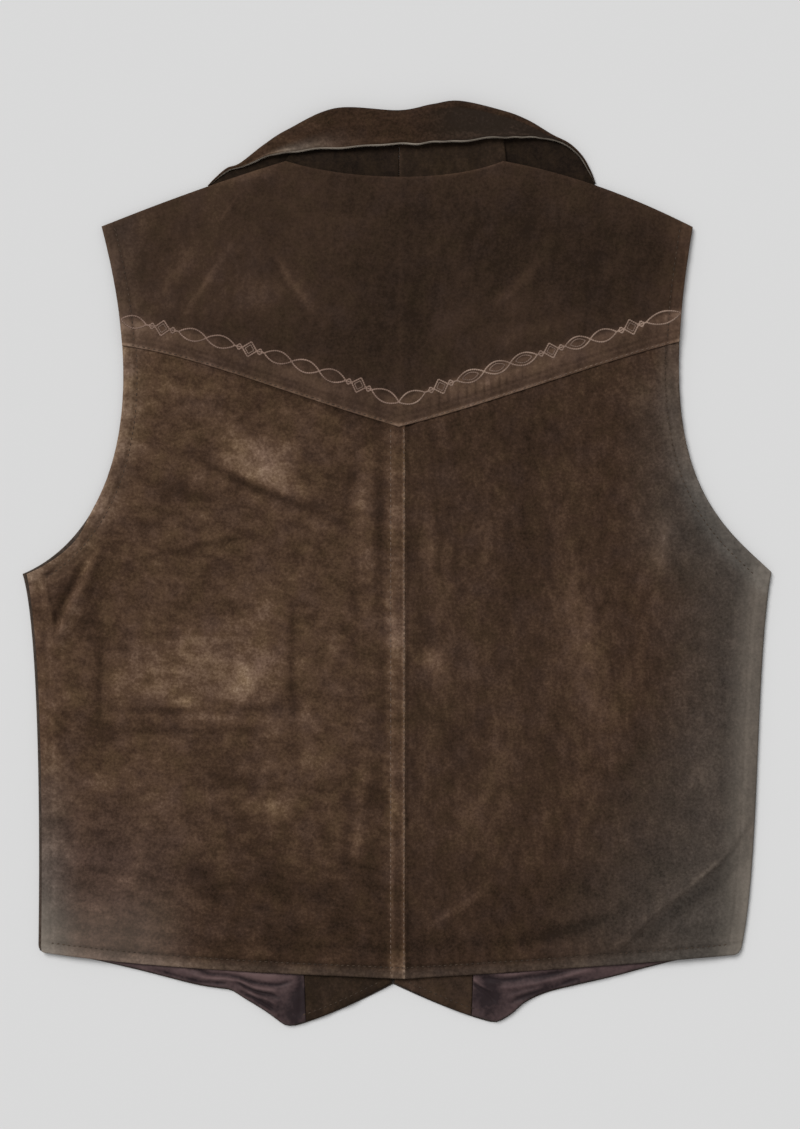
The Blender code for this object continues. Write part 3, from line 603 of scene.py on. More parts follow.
def acetateSatin(name, look):
    # Warp-faced acetate satin: smooth, with a soft broad gloss along the folds that is painted in from an attribute
    made, tree, place = newMaterial(name)
    # Threads are about 0.1 mm apart; the weave is drawn at 1.5 mm, so that it shows.
    inputs = {"Vector": place, "Scale": 1 / (1.5 * mm) / (2 * np.pi), "Distortion": 1.2, "Detail": 2}
    weave = addNode(tree, "TexWave", inputs, bands_direction="DIAGONAL").outputs["Fac"]
    slub = noise(tree, place, 2.5, 2)
    tone = weigh(tree, slub, 0.30, weigh(tree, noise(tree, place, 14, 3, 0.55), 0.45, 0.30))
    # The attribute carries painted highlights and shade along the folds
    tone = weigh(tree, painted(tree, "rubAndShade"), 0.5, tone)
    colour = ramped(tree, tone, ((0.42, look["dark"]), (0.95, look["light"])))
    finished(tree, colour, weigh(tree, weave, 0.25, slub), 0.12, 0.3, {
        "Roughness": 0.6, "Specular IOR Level": 0.16, "Sheen Weight": 0.15, "Sheen Roughness": 0.4})
    return made


def spunThread(name, dark, light):
    # Spun polyester thread: soft and slightly glossy, its colour uneven from stitch to stitch
    made, tree, place = newMaterial(name)
    # The ply of the thread is 0.3 mm; it is drawn at 0.9 mm, so that it shows.
    ply = noise(tree, place, 0.9, 1)
    colour = ramped(tree, weigh(tree, ply, 0.4, noise(tree, place, 11, 2)), ((0.45, dark), (0.95, light)))
    finished(tree, colour, ply, 0.3, 0.2, {"Roughness": 0.6, "Specular IOR Level": 0.3})
    return made


# The patterns' weights are those of the blotches, clouds, strokes and nap
suedeLook = {
    "colours": ((0.0, "#291d14"), (0.30, "#433125"), (0.55, "#5c4636"), (0.80, "#7d6552"), (1.0, "#a08873")),
    "base": 0.32, "patterns": (0.24, 0.52, 0.20, 0.72), "rubAndShade": 0.55, "brushTurn": 6, "draw": 1.7,
    "dustAndSheen": "#5c5650", "bareAndSheen": "#dccfbe", "mauve": "#5c4840", "olive": "#51402a", "drift": 0.34,
}
darkColours = ((0.0, "#1c1510"), (0.35, "#2f241b"), (0.7, "#453529"), (1.0, "#625040"))
outerSuede, leftSuede, yokeSuede, collarSuede, facingSuede, shadedFacingSuede = (
    brushedSuede(name, dict(suedeLook, **look))
    for name, look in (
        ("brushed brown suede", {}),
        # The left back panel: blotchier, and paler as painted sheen of its nap, which is brushed another way
        ("brushed brown suede, worn, painted nap sheen", {"patterns": (0.50, 0.50, 0.26, 0.74), "brushTurn": 82, "draw": 1.3, "base": 0.37}),
        ("brushed brown suede, close nap", {"patterns": (0.22, 0.36, 0.12, 0.48), "brushTurn": -12, "base": 0.335}),
        ("brushed brown suede, handled", {"patterns": (0.30, 0.44, 0.30, 0.74), "brushTurn": 98, "base": 0.322}),
        ("dark facing suede", {"colours": darkColours, "base": 0.34}),
        # The stand and lapels lie in the gap under the collar's fall: this darker copy of the facing suede is painted
        # shade
        ("dark facing suede, painted shade", {"colours": darkColours, "base": 0.20}),
    )
)
liningSatin = acetateSatin("plum acetate satin", {"dark": "#281d1f", "light": "#675251"})
seamThread = spunThread("brown seam thread", "#2c2119", "#544334")
ridgeThread = spunThread("brown seam thread, rubbed pale", "#534236", "#766050")
chainThread = {
    "left": spunThread("tan embroidery thread", "#6a5448", "#977d6e"),
    "right": spunThread("tan embroidery thread, rubbed pale", "#705a4d", "#a18979"),
    "fill": spunThread("dull tan embroidery thread", "#5a473c", "#826b5d"),
}
print("materials made")

# Meshes


def newPiece(name, points, faces, finish, attributes=()):
    mesh = bpy.data.meshes.new(name)
    mesh.from_pydata((points.reshape(-1, 3) * mm).tolist(), [], faces)
    mesh.update()
    mesh.shade_smooth()
    mesh.materials.append(finish)
    for label, values in dict(attributes).items():
        layer = mesh.attributes.new(label, "FLOAT", "POINT")
        layer.data.foreach_set("value", np.ascontiguousarray(values, np.float32).ravel())
    piece = bpy.data.objects.new(name, mesh)
    scene.collection.objects.link(piece)
    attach(piece, "root")
    return piece


def sewnIn(piece, node, slot, flat, held, under, area, **others):
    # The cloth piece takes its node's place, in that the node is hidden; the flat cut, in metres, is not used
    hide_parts(node)


def gridFaces(rows, columns):
    k = np.arange(rows * columns).reshape(rows, columns)
    return np.stack([k[:-1, :-1], k[:-1, 1:], k[1:, 1:], k[1:, :-1]], axis=-1).reshape(-1, 4)


def gridArea(points):
    # Half the cross product of each quad's diagonals, in square metres
    points = np.dstack([points, np.zeros(points.shape[:2])])[..., :3] * mm
    a, b = points[1:, 1:] - points[:-1, :-1], points[1:, :-1] - points[:-1, 1:]
    return np.linalg.norm(np.cross(a, b), axis=-1).sum() / 2


def clothFaces(under, thickness, off, radius):
    # Upper and lower face of a cloth whose edge is a quarter round of this radius
    swell = 0.2 + 0.8 * np.sqrt(1 - (1 - np.clip(off / radius, 0, 1)) ** 2)
    return under + thickness * (0.5 + 0.5 * swell), under + thickness * (0.5 - 0.5 * swell)


def clothShell(name, plan, top, under, finish, attributes):
    # Closed cloth: the upper grid, the same grid below it turned over, and a strip round the rim that joins them
    if plan[0, 0, 0] > plan[0, -1, 0]:
        plan, top, under = plan[:, ::-1], top[:, ::-1], under[:, ::-1]
        attributes = {k: a[:, ::-1] for k, a in attributes.items()}
    rows, columns = top.shape
    count = rows * columns
    k = np.arange(count).reshape(rows, columns)
    rim = np.concatenate([k[0, :-1], k[:-1, -1], k[-1, :0:-1], k[:0:-1, 0]])
    after = np.roll(rim, -1)
    upper = gridFaces(rows, columns)
    faces = np.concatenate([upper, upper[:, ::-1] + count, np.stack([rim, rim + count, after + count, after], axis=-1)])
    points = np.concatenate([np.dstack([plan, top]), np.dstack([plan, under])])
    both = {label: np.concatenate([values, values]) for label, values in attributes.items()}
    return newPiece(name, points, faces.tolist(), finish, both)


def stitches(name, paths, look, finish):
    # Each stitch is a short tube: rings whose radius follows a half ellipse, its ends sunk into the cloth
    rng = np.random.default_rng(look["seed"])
    centres, aheads = [], []
    for path in paths:
        count = max(2, round(curveLength(path) / look["pitch"]))
        share = (np.arange(count) + 0.5) / count
        centres.append(along(path, share))
        ahead = along(path, np.minimum(share + 0.2 / count, 1)) - along(path, np.maximum(share - 0.2 / count, 0))
        aheads.append(ahead / np.linalg.norm(ahead, axis=1, keepdims=True))
    centre, ahead = np.concatenate(centres), np.concatenate(aheads)
    aside = np.cross((0, 0, 1), ahead)
    aside /= np.linalg.norm(aside, axis=1, keepdims=True)
    slant = radians(look["slant"]) + rng.normal(0, 0.05, len(centre))
    ahead = ahead * np.cos(slant)[:, None] + aside * np.sin(slant)[:, None]
    aside = np.cross((0, 0, 1), ahead)
    t = np.array([-1, -0.72, -0.25, 0.25, 0.72, 1])[:, None]
    sides, rings = 6, len(t)
    angle = np.linspace(0, 2 * np.pi, sides, endpoint=False)[None]
    size = np.sqrt(1.06 - t**2)
    out = size * np.cos(angle) * look["width"] / 2
    rise = size * np.sin(angle) * look["height"] / 2 + look["height"] * (0.15 - 0.75 * t**4)
    length = look["length"] / 2 * rng.normal(1, 0.06, len(centre))
    points = centre[:, None, None] + ahead[:, None, None] * (t + 0 * angle)[None, ..., None] * length[:, None, None, None]
    points = points + aside[:, None, None] * out[None, ..., None] + np.array([0, 0, 1]) * rise[None, ..., None]
    ring = np.arange(sides)
    after = np.roll(ring, -1)
    tube = np.concatenate([sides * r + np.stack([sides + ring, sides + after, after, ring], axis=-1) for r in range(rings - 1)])
    starts = sides * rings * np.arange(len(centre))[:, None]
    caps = [*(starts + ring).tolist(), *(starts + sides * (rings - 1) + ring[::-1]).tolist()]
    return newPiece(name, points, (tube[None] + starts[..., None]).reshape(-1, 4).tolist() + caps, finish)


def inset(curve, off, side):
    # The curve moved sideways, square to itself
    run = np.gradient(curve, axis=0)
    run /= np.linalg.norm(run, axis=1, keepdims=True)
    return curve + side * off * np.stack([-run[:, 1], run[:, 0]], axis=-1)


def onCloth(path, topOf):
    # The path in plan, resampled every 2 mm and laid on the cloth
    plan = along(path, np.linspace(0, 1, max(3, round(curveLength(path) / 2))))
    return np.column_stack([plan, topOf(plan)])


# Back panels. Grids are bands of a length and a step; sewing is puff, pinch, and the ripples' height, seed and reach.
back = {
    "columns": ((16, 1.0), (196, 2.4), (60, 1.5), (16, 1.0)),
    "rows": ((18, 1.0), (127, 2.0), (85, 2.4), (100, 1.5), (144, 2.4), (16, 2.0)),
    "underarmShare": 0.58, "sideRim": (2.4, 0.4), "armRim": 2.2, "armRimAt": (12, 24), "rimEnd": (44, 16),
    "hemTurn": 8.4, "hemSewing": (0.45, 0.45, 0.16, 11, 16), "edge": 1.7,
    "armholeTurn": 9.5, "armholeSewing": (0.40, 0.40, 0.36, 12, 12),
    "sideTurn": 10.5, "sideSewing": (0.30, 0.40, 0.12, 13, 15),
    "centreStitch": (1.1, 11.0), "centreLap": (42, 18), "seamSwell": 1.5, "cut": (0.292, 0.494),
}


def backPlan(half):
    u, v = gridShares(back["columns"]), gridShares(back["rows"], back["underarmShare"])
    topY = half["yokeSideY"] + cut["yokeLap"]
    innerX = cut["centreBackX"] - cut["centreLap"] * (half["side"] > 0)
    seam = yokeSeam(half) + [0, cut["yokeLap"]]
    bottom = along(np.vstack([[innerX, cut["hemCentreY"]], hem(half)]), u)
    top = along(np.vstack([[innerX, seam[0, 1]], seam]), u)
    top[-1] = armholeAt(half, topY)
    start = straight(bottom[0], top[0], v)
    end = chain(v, back["underarmShare"], sideSeam(half), armholePart(half, half["underarm"][1], topY))
    plan = coons(bottom, top, start, end, u, v)
    # The outer columns are drawn in, so that the front shows as a rim, most under the wearer's left arm
    outerY = plan[:, -1:, 1]
    rim = back["sideRim"][half["side"] > 0] + back["armRim"] * bell(outerY, *back["armRimAt"]) * (half["side"] < 0)
    plan[..., 0] -= half["side"] * rim * ease(outerY, *back["rimEnd"]) * u[None] ** 8
    return softCorner(plan, half)


def backEdges(plan, half):
    # Distances to the armhole, side and hem, and how far a point lies past the centre-back seam
    return *(nearest(plan, line(half)) for line in (armhole, sideSeam, hem)), plan[..., 0] - cut["centreBackX"]


def backLay(plan, half):
    # Upper and lower face of a back panel, with its turned hem, armhole and side, and the lap at centre back
    x, y = plan[..., 0], plan[..., 1]
    under, below = backUnder(plan), belowYoke(plan)
    toArm, toSide, toHem, past = backEdges(plan, half)
    shown = sewnEdge(x, toHem, back["hemTurn"], *back["hemSewing"])
    shown += sewnEdge(y, toArm, back["armholeTurn"], *back["armholeSewing"])
    shown += sewnEdge(y, toSide, back["sideTurn"], *back["sideSewing"])
    edge = np.minimum(np.minimum(toArm, toSide), toHem)
    ripples = pucker(y, np.abs(past), 14, 14)
    if half["side"] < 0:
        near, far = back["centreStitch"]
        under += cut["layer"] * ease(-past, *back["centreLap"])
        shown += turnedEdge(-past, far, 0.35, 0.45) - 0.30 * bell(-past, near + 1.4, 0.9) + 0.16 * ripples
        edge = np.minimum(edge, np.abs(past))
    else:
        shown += 0.18 * ripples * ease(past, 0, 4) + back["seamSwell"] * ease(past, -0.5, 0.3) * ease(past, 15, 3)
        shown += 0.8 * ease(below, 0, 1.6) * np.exp(-np.abs(below) / 9)
    under += np.maximum(shown, -0.5) * ease(below, -1, 5)
    return clothFaces(under, cut["suede"], edge, back["edge"])


def backWearAndShade(plan, half):
    x, y = plan[..., 0], plan[..., 1]
    left = half["side"] < 0
    toArm, toSide, toHem, past = backEdges(plan, half)
    marks, strip, edge = wornAndShaded(plan, toArm)
    turned, outer = ease(toHem, 1.3 * back["hemTurn"], 0.3 * back["hemTurn"]), ease(x, -80, -160)
    rubAndShade = marks + (0.44 if left else 0.40) * strip + 0.22 * edge
    rubAndShade += 0.14 * bell(toSide, back["sideTurn"] + 2, 3) + 0.22 * ease(toSide, 18.2, 4.2)
    # Lighter at the hem's edge and over its turn; the darker line 23 mm up from the hem is painted shade
    rubAndShade += (0.10 + 0.26 * outer) * bell(toHem, 0, 4) + (0.03 + 0.22 * outer) * turned - 0.14 * bell(toHem, 23, 4)
    rubAndShade -= 0.25 * bell(toHem, back["hemTurn"], 1.6) + (0.20 if left else 0.10) * bell(toArm, back["armholeTurn"], 1.5)
    # Just below the yoke's edge, where the edge's painted shadow falls
    underYoke = bell(belowYoke(plan), 1, 1.5)
    if left:
        low = ease(y, -120, -180)
        rubAndShade += 0.06 + 0.62 * bell(-past, 0.2, 1.9) + (0.14 + 0.16 * low) * bell(-past, 10.4, 2.8 - 0.9 * low)
        rubAndShade += 0.36 * bell(-past, 5, 7) * bell(y, cut["hemCentreY"] + 10, 11) - 0.08 * low * bell(-past, 5.5, 3)
        # Painted shadow of the yoke's edge on the left panel's inner part
        rubAndShade -= 0.25 * ease(x, -170, -130) * underYoke
    else:
        # The right panel is a little darker overall, with painted shadow beside the left panel's lapped edge and under
        # the yoke's edge
        rubAndShade -= 0.24 * bell(past, 1.6, 1.2) + 0.07 + 0.04 * underYoke
    dustAndSheen = greyedDustAndSheen(plan) + (0.08 if left else 0.24 + 0.24 * ease(y, 100, 40)) * strip + 0.22 * turned
    # The lower left is darker inwards of the corner, which has a mauve cast
    rubAndShade -= 0.27 * ease(x, -175, -120) * ease(y, -195, -255) * ease(x, 6, -14)
    mauve = 0.62 * ease(x, -110, -230) * ease(y, -150, -230) if left else np.full(rubAndShade.shape, 0.08)
    return {"rubAndShade": rubAndShade, "dustAndSheen": dustAndSheen, "bareAndSheen": hazedAndSheen(plan, toSide, half), "mauve": mauve}


seamPaths, ridgePaths = [], []
for half, finish in zip(halves, (leftSuede, outerSuede)):
    side, plan = half["name"], backPlan(half)
    piece = clothShell(f"suede_back_{side}", plan, *backLay(plan, half), finish, backWearAndShade(plan, half))
    below = [f"satin_lining_{side}", f"suede_facing_{side}"]
    sewnIn(piece, f"back_{side}", "suede", back["cut"], "laid", below, gridArea(plan))

    def topOf(spots, half=half):
        return backLay(spots, half)[0]

    lowEnd = armholePart(half, half["underarm"][1] + 6, half["yokeSideY"] - 2)
    seamPaths.append(onCloth(inset(lowEnd, back["armholeTurn"] + back["sideRim"][0] / 2, half["side"]), topOf))
    seamPaths.append(onCloth(inset(hem(half)[:-2], back["hemTurn"], half["side"]), topOf))
    if half["side"] < 0:
        for x in cut["centreBackX"] - np.array(back["centreStitch"]):
            line = np.array([(x, cut["hemCentreY"] + 2), (x, cut["yokePoint"][1] - 1)])
            ridgePaths.append(onCloth(line, topOf))
print("back panels made")

# Yoke
yoke = {
    "columns": ((110, 1.4), (102, 2.2), (14, 1.0)), "rows": ((27, 0.95), (156, 2.2), (8, 1.0)), "neckShare": 0.3727,
    "edge": 1.5, "stitch": (2.0, 7.5), "thread": 1.5, "armholeTurn": 9.5, "armholeSewing": (0.40, 0.40, 0.18, 12, 12),
    "lap": (34, 14), "ridgeLap": (54, 24), "cut": (0.450, 0.203),
}
# Chain embroidery above the yoke's edge: its middle line from the point outwards, and what stands along it
chainBand = {
    "left": (
        (1.5, 122.0), (-19.0, 131.5), (-38.9, 138.7), (-58.9, 145.8), (-79.8, 153.1), (-100.5, 159.4),
        (-122.9, 165.2), (-144.6, 170.8), (-165.3, 175.7), (-190.2, 180.9), (-209.3, 185.4),
    ),
    "right": (
        (1.5, 122.0), (21.3, 129.6), (45.6, 138.6), (66.1, 145.4), (85.9, 151.8), (106.4, 158.2),
        (127.7, 164.6), (146.7, 170.0), (166.4, 175.6), (189.2, 182.8), (215.6, 190.2),
    ),
    "motifs": "lens knots lens lens lens knots lens lens knots lens",
    "lensHeight": 4.7, "diamond": (5.7, 5.9), "knot": 2.3,
    "filled": {"left": (1, 5, 8), "right": (1, 2, 3, 4, 5, 6, 8)}, "fillSize": 0.60,
    "thread": {"pitch": 1.6, "length": 2.4, "width": 1.38, "height": 0.75, "slant": 5, "seed": 21},
}


def yokePlan():
    out, v = gridShares(yoke["columns"], yoke["neckShare"]), gridShares(yoke["rows"])
    u = np.concatenate([(1 - out[::-1]) / 2, (1 + out[1:]) / 2])
    bottom = np.vstack([along(yokeSeam(leftHalf), out)[::-1], along(yokeSeam(rightHalf), out)[1:]])
    neck = neckline()
    middle = len(neck) // 2
    leftTop = chain(out, yoke["neckShare"], neck[middle::-1], shoulder(leftHalf))
    rightTop = chain(out, yoke["neckShare"], neck[middle:], shoulder(rightHalf))
    start, end = (along(armholePart(half, half["yokeSideY"], half["shoulderTip"][1]), v) for half in halves)
    return coons(bottom, np.vstack([leftTop[::-1], rightTop[1:]]), start, end, u, v)


def yokeEdges(plan):
    toSeam, toArm = (nearest(plan, *[line(half) for half in halves]) for line in (yokeSeam, armhole))
    return toSeam, toArm, nearest(plan, neckline(), *[shoulder(half) for half in halves])


def pleats(x, toSeam):
    # Short pleats gathered between the embroidery and the edge, right of the point: their dips, and where they show
    waves = np.sin(2 * np.pi * x / 6.3 + 1.5 * np.sin(x / 13))
    return np.maximum(waves, 0) ** 2, ease(x, 18, 33) * ease(x, 115, 75) * bell(toSeam, 11, 5.5)


def yokeLay(plan):
    # Upper and lower face of the yoke, raised one layer where it laps the back panels
    x, y = plan[..., 0], plan[..., 1]
    toSeam, toArm, toTop = yokeEdges(plan)
    past = x - cut["centreBackX"]
    overCentre = np.where(past < 0, ease(-past, *yoke["ridgeLap"]), ease(past, 11, 1))
    under = backUnder(plan) + (cut["layer"] - 0.25) * ease(toSeam, *yoke["lap"]) * (1 + overCentre)
    shown = sewnEdge(y, toArm, yoke["armholeTurn"], *yoke["armholeSewing"])
    for off in yoke["stitch"]:
        shown += 0.22 * bell(toSeam, off - 1.6, 1.4) - 0.28 * bell(toSeam, off + 0.4, 1.2)
    shown += (0.14 + 0.16 * ease(x, -20, 40)) * (1 + pucker(x, toSeam, 15, 26)) * np.exp(-toSeam / 22)
    dips, pleated = pleats(x, toSeam)
    under += np.maximum(shown, 0) + 0.5 * (1 - dips) * pleated
    skived = cut["suede"] * (0.4 + 0.6 * ease(toSeam, 0, 7))
    return clothFaces(under, skived, np.minimum(np.minimum(toSeam, toArm), toTop), yoke["edge"])


def yokeWearAndShade(plan):
    x = plan[..., 0]
    toSeam, toArm, toTop = yokeEdges(plan)
    marks, strip, edge = wornAndShaded(plan, toArm)
    rightSide, farRight = ease(x, -30, 40), ease(x, 95, 140)
    rubAndShade = marks - 0.30 + (0.34 + 0.10 * rightSide) * ease(toSeam, 23, 15) - 0.16 * bell(toSeam, 8, 1.3)
    rubAndShade += (0.50 + 0.10 * rightSide - 0.35 * farRight) * bell(toSeam, 0.9, 1.5)
    dips, pleated = pleats(x, toSeam)
    toChain = nearest(plan, *[np.array(chainBand[half["name"]]) for half in halves])
    # Lighter along the embroidery, with painted shade in the dips of the pleats
    rubAndShade += (0.20 + 0.34 * rightSide) * bell(toChain, 0, 3.2) - 0.34 * dips * pleated
    rubAndShade += 0.30 * strip + 0.18 * edge - 0.20 * bell(toArm, yoke["armholeTurn"], 1.5)
    toPoint = np.linalg.norm(plan - np.array(cut["yokePoint"]), axis=-1)
    rubAndShade += (0.12 + 0.30 * bell(x, 58, 30)) * bell(toTop, 0, 1.8) + 0.3 * bell(toPoint, 0, 4)
    dustAndSheen, mauve = 0.04 + 0.10 * ease(x, -180, -220), 0.06 + 0.14 * ease(toSeam, 32, 22)
    return {"rubAndShade": rubAndShade, "dustAndSheen": dustAndSheen, "bareAndSheen": 0 * rubAndShade, "mauve": mauve}


def yokeTop(spots):
    return yokeLay(spots)[0]


def motifPaths(start, end, kind):
    # A lens is a pair of rounded sine arches; knots are a small diamond each side of a large one
    length = np.linalg.norm(end - start)
    ahead = (end - start) / length
    aside = np.array([-ahead[1], ahead[0]])
    if kind == "lens":
        t = np.linspace(0, 1, 25)
        spots = [np.column_stack([t * length, s * chainBand["lensHeight"] * np.sin(np.pi * t) ** 0.85]) for s in (1, -1)]
    else:
        ring = np.array([(-1, 0), (0, 1), (1, 0), (0, -1), (-1, 0)])
        big, small = np.array(chainBand["diamond"]), chainBand["knot"]
        spots = []
        for place, reach in ((0, big), (-1, small), (1, small)):
            corners = np.array([length / 2 + place * (big[0] + small), 0]) + ring * reach
            spots += [corners[k : k + 2] for k in range(4)]
            spots += [corners[::2][:2]] if place else []
        gap = length / 2 - big[0] - 2 * small
        spots += [np.array([(0, 0), (gap, 0)]), np.array([(length - gap, 0), (length, 0)])] if gap > 0.6 else []
    return [start + s[:, :1] * ahead + s[:, 1:] * aside for s in spots]


plan = yokePlan()
yokePiece = clothShell("suede_back_yoke", plan, *yokeLay(plan), yokeSuede, yokeWearAndShade(plan))
chainPieces, fillPaths = [], []
for half, seams in zip(halves, (seamPaths, ridgePaths)):
    seams.append(onCloth(inset(yokeSeam(half)[1:-2], yoke["thread"], half["side"]), yokeTop))
    highEnd = armholePart(half, half["yokeSideY"] + 2, half["shoulderTip"][1] - 3)
    seamPaths.append(onCloth(inset(highEnd, yoke["armholeTurn"], half["side"]), yokeTop))
for half in halves:
    side, paths = half["name"], []
    nodes = np.array(chainBand[side])
    for k, kind in enumerate(chainBand["motifs"].split()):
        drawn = motifPaths(nodes[k], nodes[k + 1], kind)
        paths += [onCloth(path, yokeTop) for path in drawn]
        if k in chainBand["filled"][side]:
            # The same lens or large diamond again, smaller, in a duller thread
            middle = (nodes[k] + nodes[k + 1]) / 2
            smaller = [middle + (path - middle) * chainBand["fillSize"] for path in drawn[: 2 if kind == "lens" else 4]]
            fillPaths += [onCloth(path, yokeTop) for path in smaller]
    chainPieces.append(stitches(f"yoke_embroidery_{side}", paths, chainBand["thread"], chainThread[side]))
fillLook = dict(chainBand["thread"], width=1.1, height=0.6)
chainPieces.append(stitches("yoke_embroidery_fill", fillPaths, fillLook, chainThread["fill"]))
below = ["suede_back_left", "suede_back_right"]
sewnIn(yokePiece, "back_yoke", "suede", yoke["cut"], "laid", below, gridArea(plan), with_pieces=chainPieces)
print("yoke made")

# Fronts, their facings and linings
front = {
    "underarmShare": 0.50, "breakShare": 0.60, "tipShare": 1 / 3, "hemInset": 1.2, "shoulderInset": 18,
    "facingShoulderShare": 0.32, "facingWaistOut": 12, "facingWaistY": 10, "facingStitch": 6.5,
    "liningInset": 14, "liningFirstColumn": 1 / 7, "edge": 1.4, "innerEdge": 1.2,
    "columns": ((96, 2.5), (186, 4), (6, 1)), "rows": ((8, 1), (70, 2.5), (570, 5), (6, 1)),
    "facingColumns": ((10, 1.2), (52, 2.2), (4, 1)), "facingRows": ((10, 1), (60, 2), (560, 5)),
    "liningColumns": ((150, 1.2), (46, 2.4)), "liningRows": ((54, 0.9), (568, 5)),
    "frontCut": (0.292, 0.662), "facingCut": (0.130, 0.640), "liningCut": (0.212, 0.630),
}
# Slack folds of the linings, and places of painted highlight and painted shade on them, as above
liningFolds = {
    "left": (
        (((-178, -304), (-160, -306), (-150, -309), (-142, -312.2), (-132, -312.8), (-121, -314.6), (-111, -318), (-100, -319.8),
          (-92, -320.4), (-83, -318.5), (-75, -315.4)), -1.7, 1.4, 1.6),
        (((-150, -304), (-132, -308), (-116, -311), (-100, -314), (-84, -313.5)), 0.9, 3.0, 2.6),
        (((-166, -309), (-150, -314), (-140, -315.4), (-130, -315.8), (-118, -318.4), (-108, -322.4), (-96, -324.4),
          (-86, -325.6)), 1.2, 1.4, 1.4),
        (((-192, -307), (-170, -313), (-151, -318), (-139, -318.8), (-128, -319.5)), -1.2, 1.3, 1.3),
        (((-126, -317), (-119, -319.6), (-112, -323.7), (-105, -326.3), (-95, -328.1), (-88, -331)), -1.4, 1.1, 1.3),
        (((-116, -324.6), (-106, -329), (-98, -331.6), (-90, -336)), 1.0, 1.2, 1.2),
        (((-122, -324), (-116, -327.2), (-106.6, -331.8), (-99.6, -336), (-92, -341)), -1.2, 1.2, 1.3),
        (((-106, -335.5), (-98, -340), (-90, -345)), 0.7, 1.2, 1.2), (((-74, -310), (-73, -330), (-74, -346)), -0.8, 2.5, 2.5),
    ),
    "right": (
        (((66, -309), (75, -311), (85, -312.7), (102, -309.8), (129, -307.2)), 1.0, 1.8, 1.8),
        (((60, -314), (70, -315.8), (83, -316.6), (102, -314.2), (122, -311.6), (140, -308)), -1.3, 1.8, 1.8),
        (((74, -323), (84, -322.4), (98, -320.8), (116, -317), (135, -312), (152, -307.6)), 1.0, 1.6, 1.6),
        (((84, -329.4), (98, -325.8), (112, -322)), 0.7, 1.3, 1.3),
        (((80, -336), (96, -329.8), (112, -324.8), (127, -319.4), (144, -314)), -1.1, 1.8, 2.0),
        (((57, -315), (62, -319), (68, -323), (76, -326)), 0.9, 1.2, 1.2),
        (((56, -318.5), (62, -322), (68, -326.5), (77, -336)), -1.2, 1.1, 1.4),
    ),
}
# Painted highlights and shade on the linings, the wearer's right darker overall: centre, turn in degrees, half length,
# half width, percent
liningShading = {
    "left": (
        (-155, -306, -12, 40, 5, 42), (-104, -313.5, -6, 32, 4, 30), (-75, -332, 90, 18, 8, -60),
        (-86, -342, -30, 16, 7, -34), (-105, -330, -30, 26, 6, -20),
    ),
    "right": (
        (110, -318, 12, 70, 14, -28), (70, -328, 90, 18, 10, -40), (120, -308, 8, 50, 2, 30), (155, -306, 10, 40, 5, 35),
    ),
}


def frontHem(half, end, rise):
    return smoothThrough(np.vstack([np.array([half["frontTip"], *half["frontHem"]]) + [0, rise], end]), 91)


def frontInnerLine(half, v, off):
    x = frontEdgeX(half) + half["side"] * off
    breakPoint = (x, cut["frontBreakY"])
    neckPoint = np.array(half["neckPoint"]) + [half["side"] * off, -front["shoulderInset"] * (off > 0)]
    return chain(v, front["breakShare"], np.array([(x, cut["frontApexY"] + off), breakPoint]), np.array([breakPoint, neckPoint]))


def frontOuterLine(half, v):
    return chain(v, front["underarmShare"], sideSeam(half), armhole(half))


def facingLine(half, v, aside):
    footX = frontEdgeX(half) + half["side"] * (half["facingWidth"] + aside)
    cutaway = cutawayLine(half)
    footY = np.interp(abs(footX), np.abs(cutaway[:, 0]), cutaway[:, 1]) + front["hemInset"]
    waist = (footX + half["side"] * front["facingWaistOut"], front["facingWaistY"])
    head = along(shoulder(half), front["facingShoulderShare"]) + [half["side"] * aside, -front["shoulderInset"]]
    return along(bezier((footX, footY), waist, head), v)


def frontPlan(half):
    u = gridShares(front["columns"], front["tipShare"])
    v = gridShares(front["rows"], front["breakShare"], front["underarmShare"])
    bottom = chain(u, front["tipShare"], cutawayLine(half), frontHem(half, half["hemCorner"], 0))
    plan = coons(bottom, along(shoulder(half), u), frontInnerLine(half, v, 0), frontOuterLine(half, v), u, v)
    return softTip(softCorner(plan, half), half)


def facingPlan(half):
    u = gridShares(front["facingColumns"])
    v = gridShares(front["facingRows"], front["breakShare"])
    inner, outer = frontInnerLine(half, v, front["hemInset"]), facingLine(half, v, 0)
    bottom = bezier(inner[0], np.array(half["cutaway"]) + [0, front["hemInset"]], outer[0])
    return coons(along(bottom, u), straight(inner[-1], outer[-1], u), inner, outer, u, v)


def liningPlan(half):
    u = gridShares(front["liningColumns"], front["liningFirstColumn"])
    v = gridShares(front["liningRows"], front["breakShare"], front["underarmShare"])
    inner = facingLine(half, v, cut["seamGap"])
    outer = frontOuterLine(half, v) - [half["side"] * front["liningInset"], 0]
    outer[:, 1] -= front["shoulderInset"] * ease(v, 0.75, 1)
    lower = frontHem(half, outer[0], front["hemInset"])
    bottom = chain(u, front["liningFirstColumn"], np.array([inner[0], lower[0]]), lower)
    return softTip(coons(bottom, straight(inner[-1], outer[-1], u), inner, outer, u, v), half)


def rimDistance(plan):
    return nearest(plan, np.vstack([plan[0], plan[1:, -1], plan[-1, -2::-1], plan[-2::-1, 0]]))


def evenWearAndShade(plan, rubAndShade, dustAndSheen=0.0):
    return {label: np.full(plan.shape[:2], level) for label, level in (("rubAndShade", rubAndShade), ("dustAndSheen", dustAndSheen), ("bareAndSheen", 0.0))}


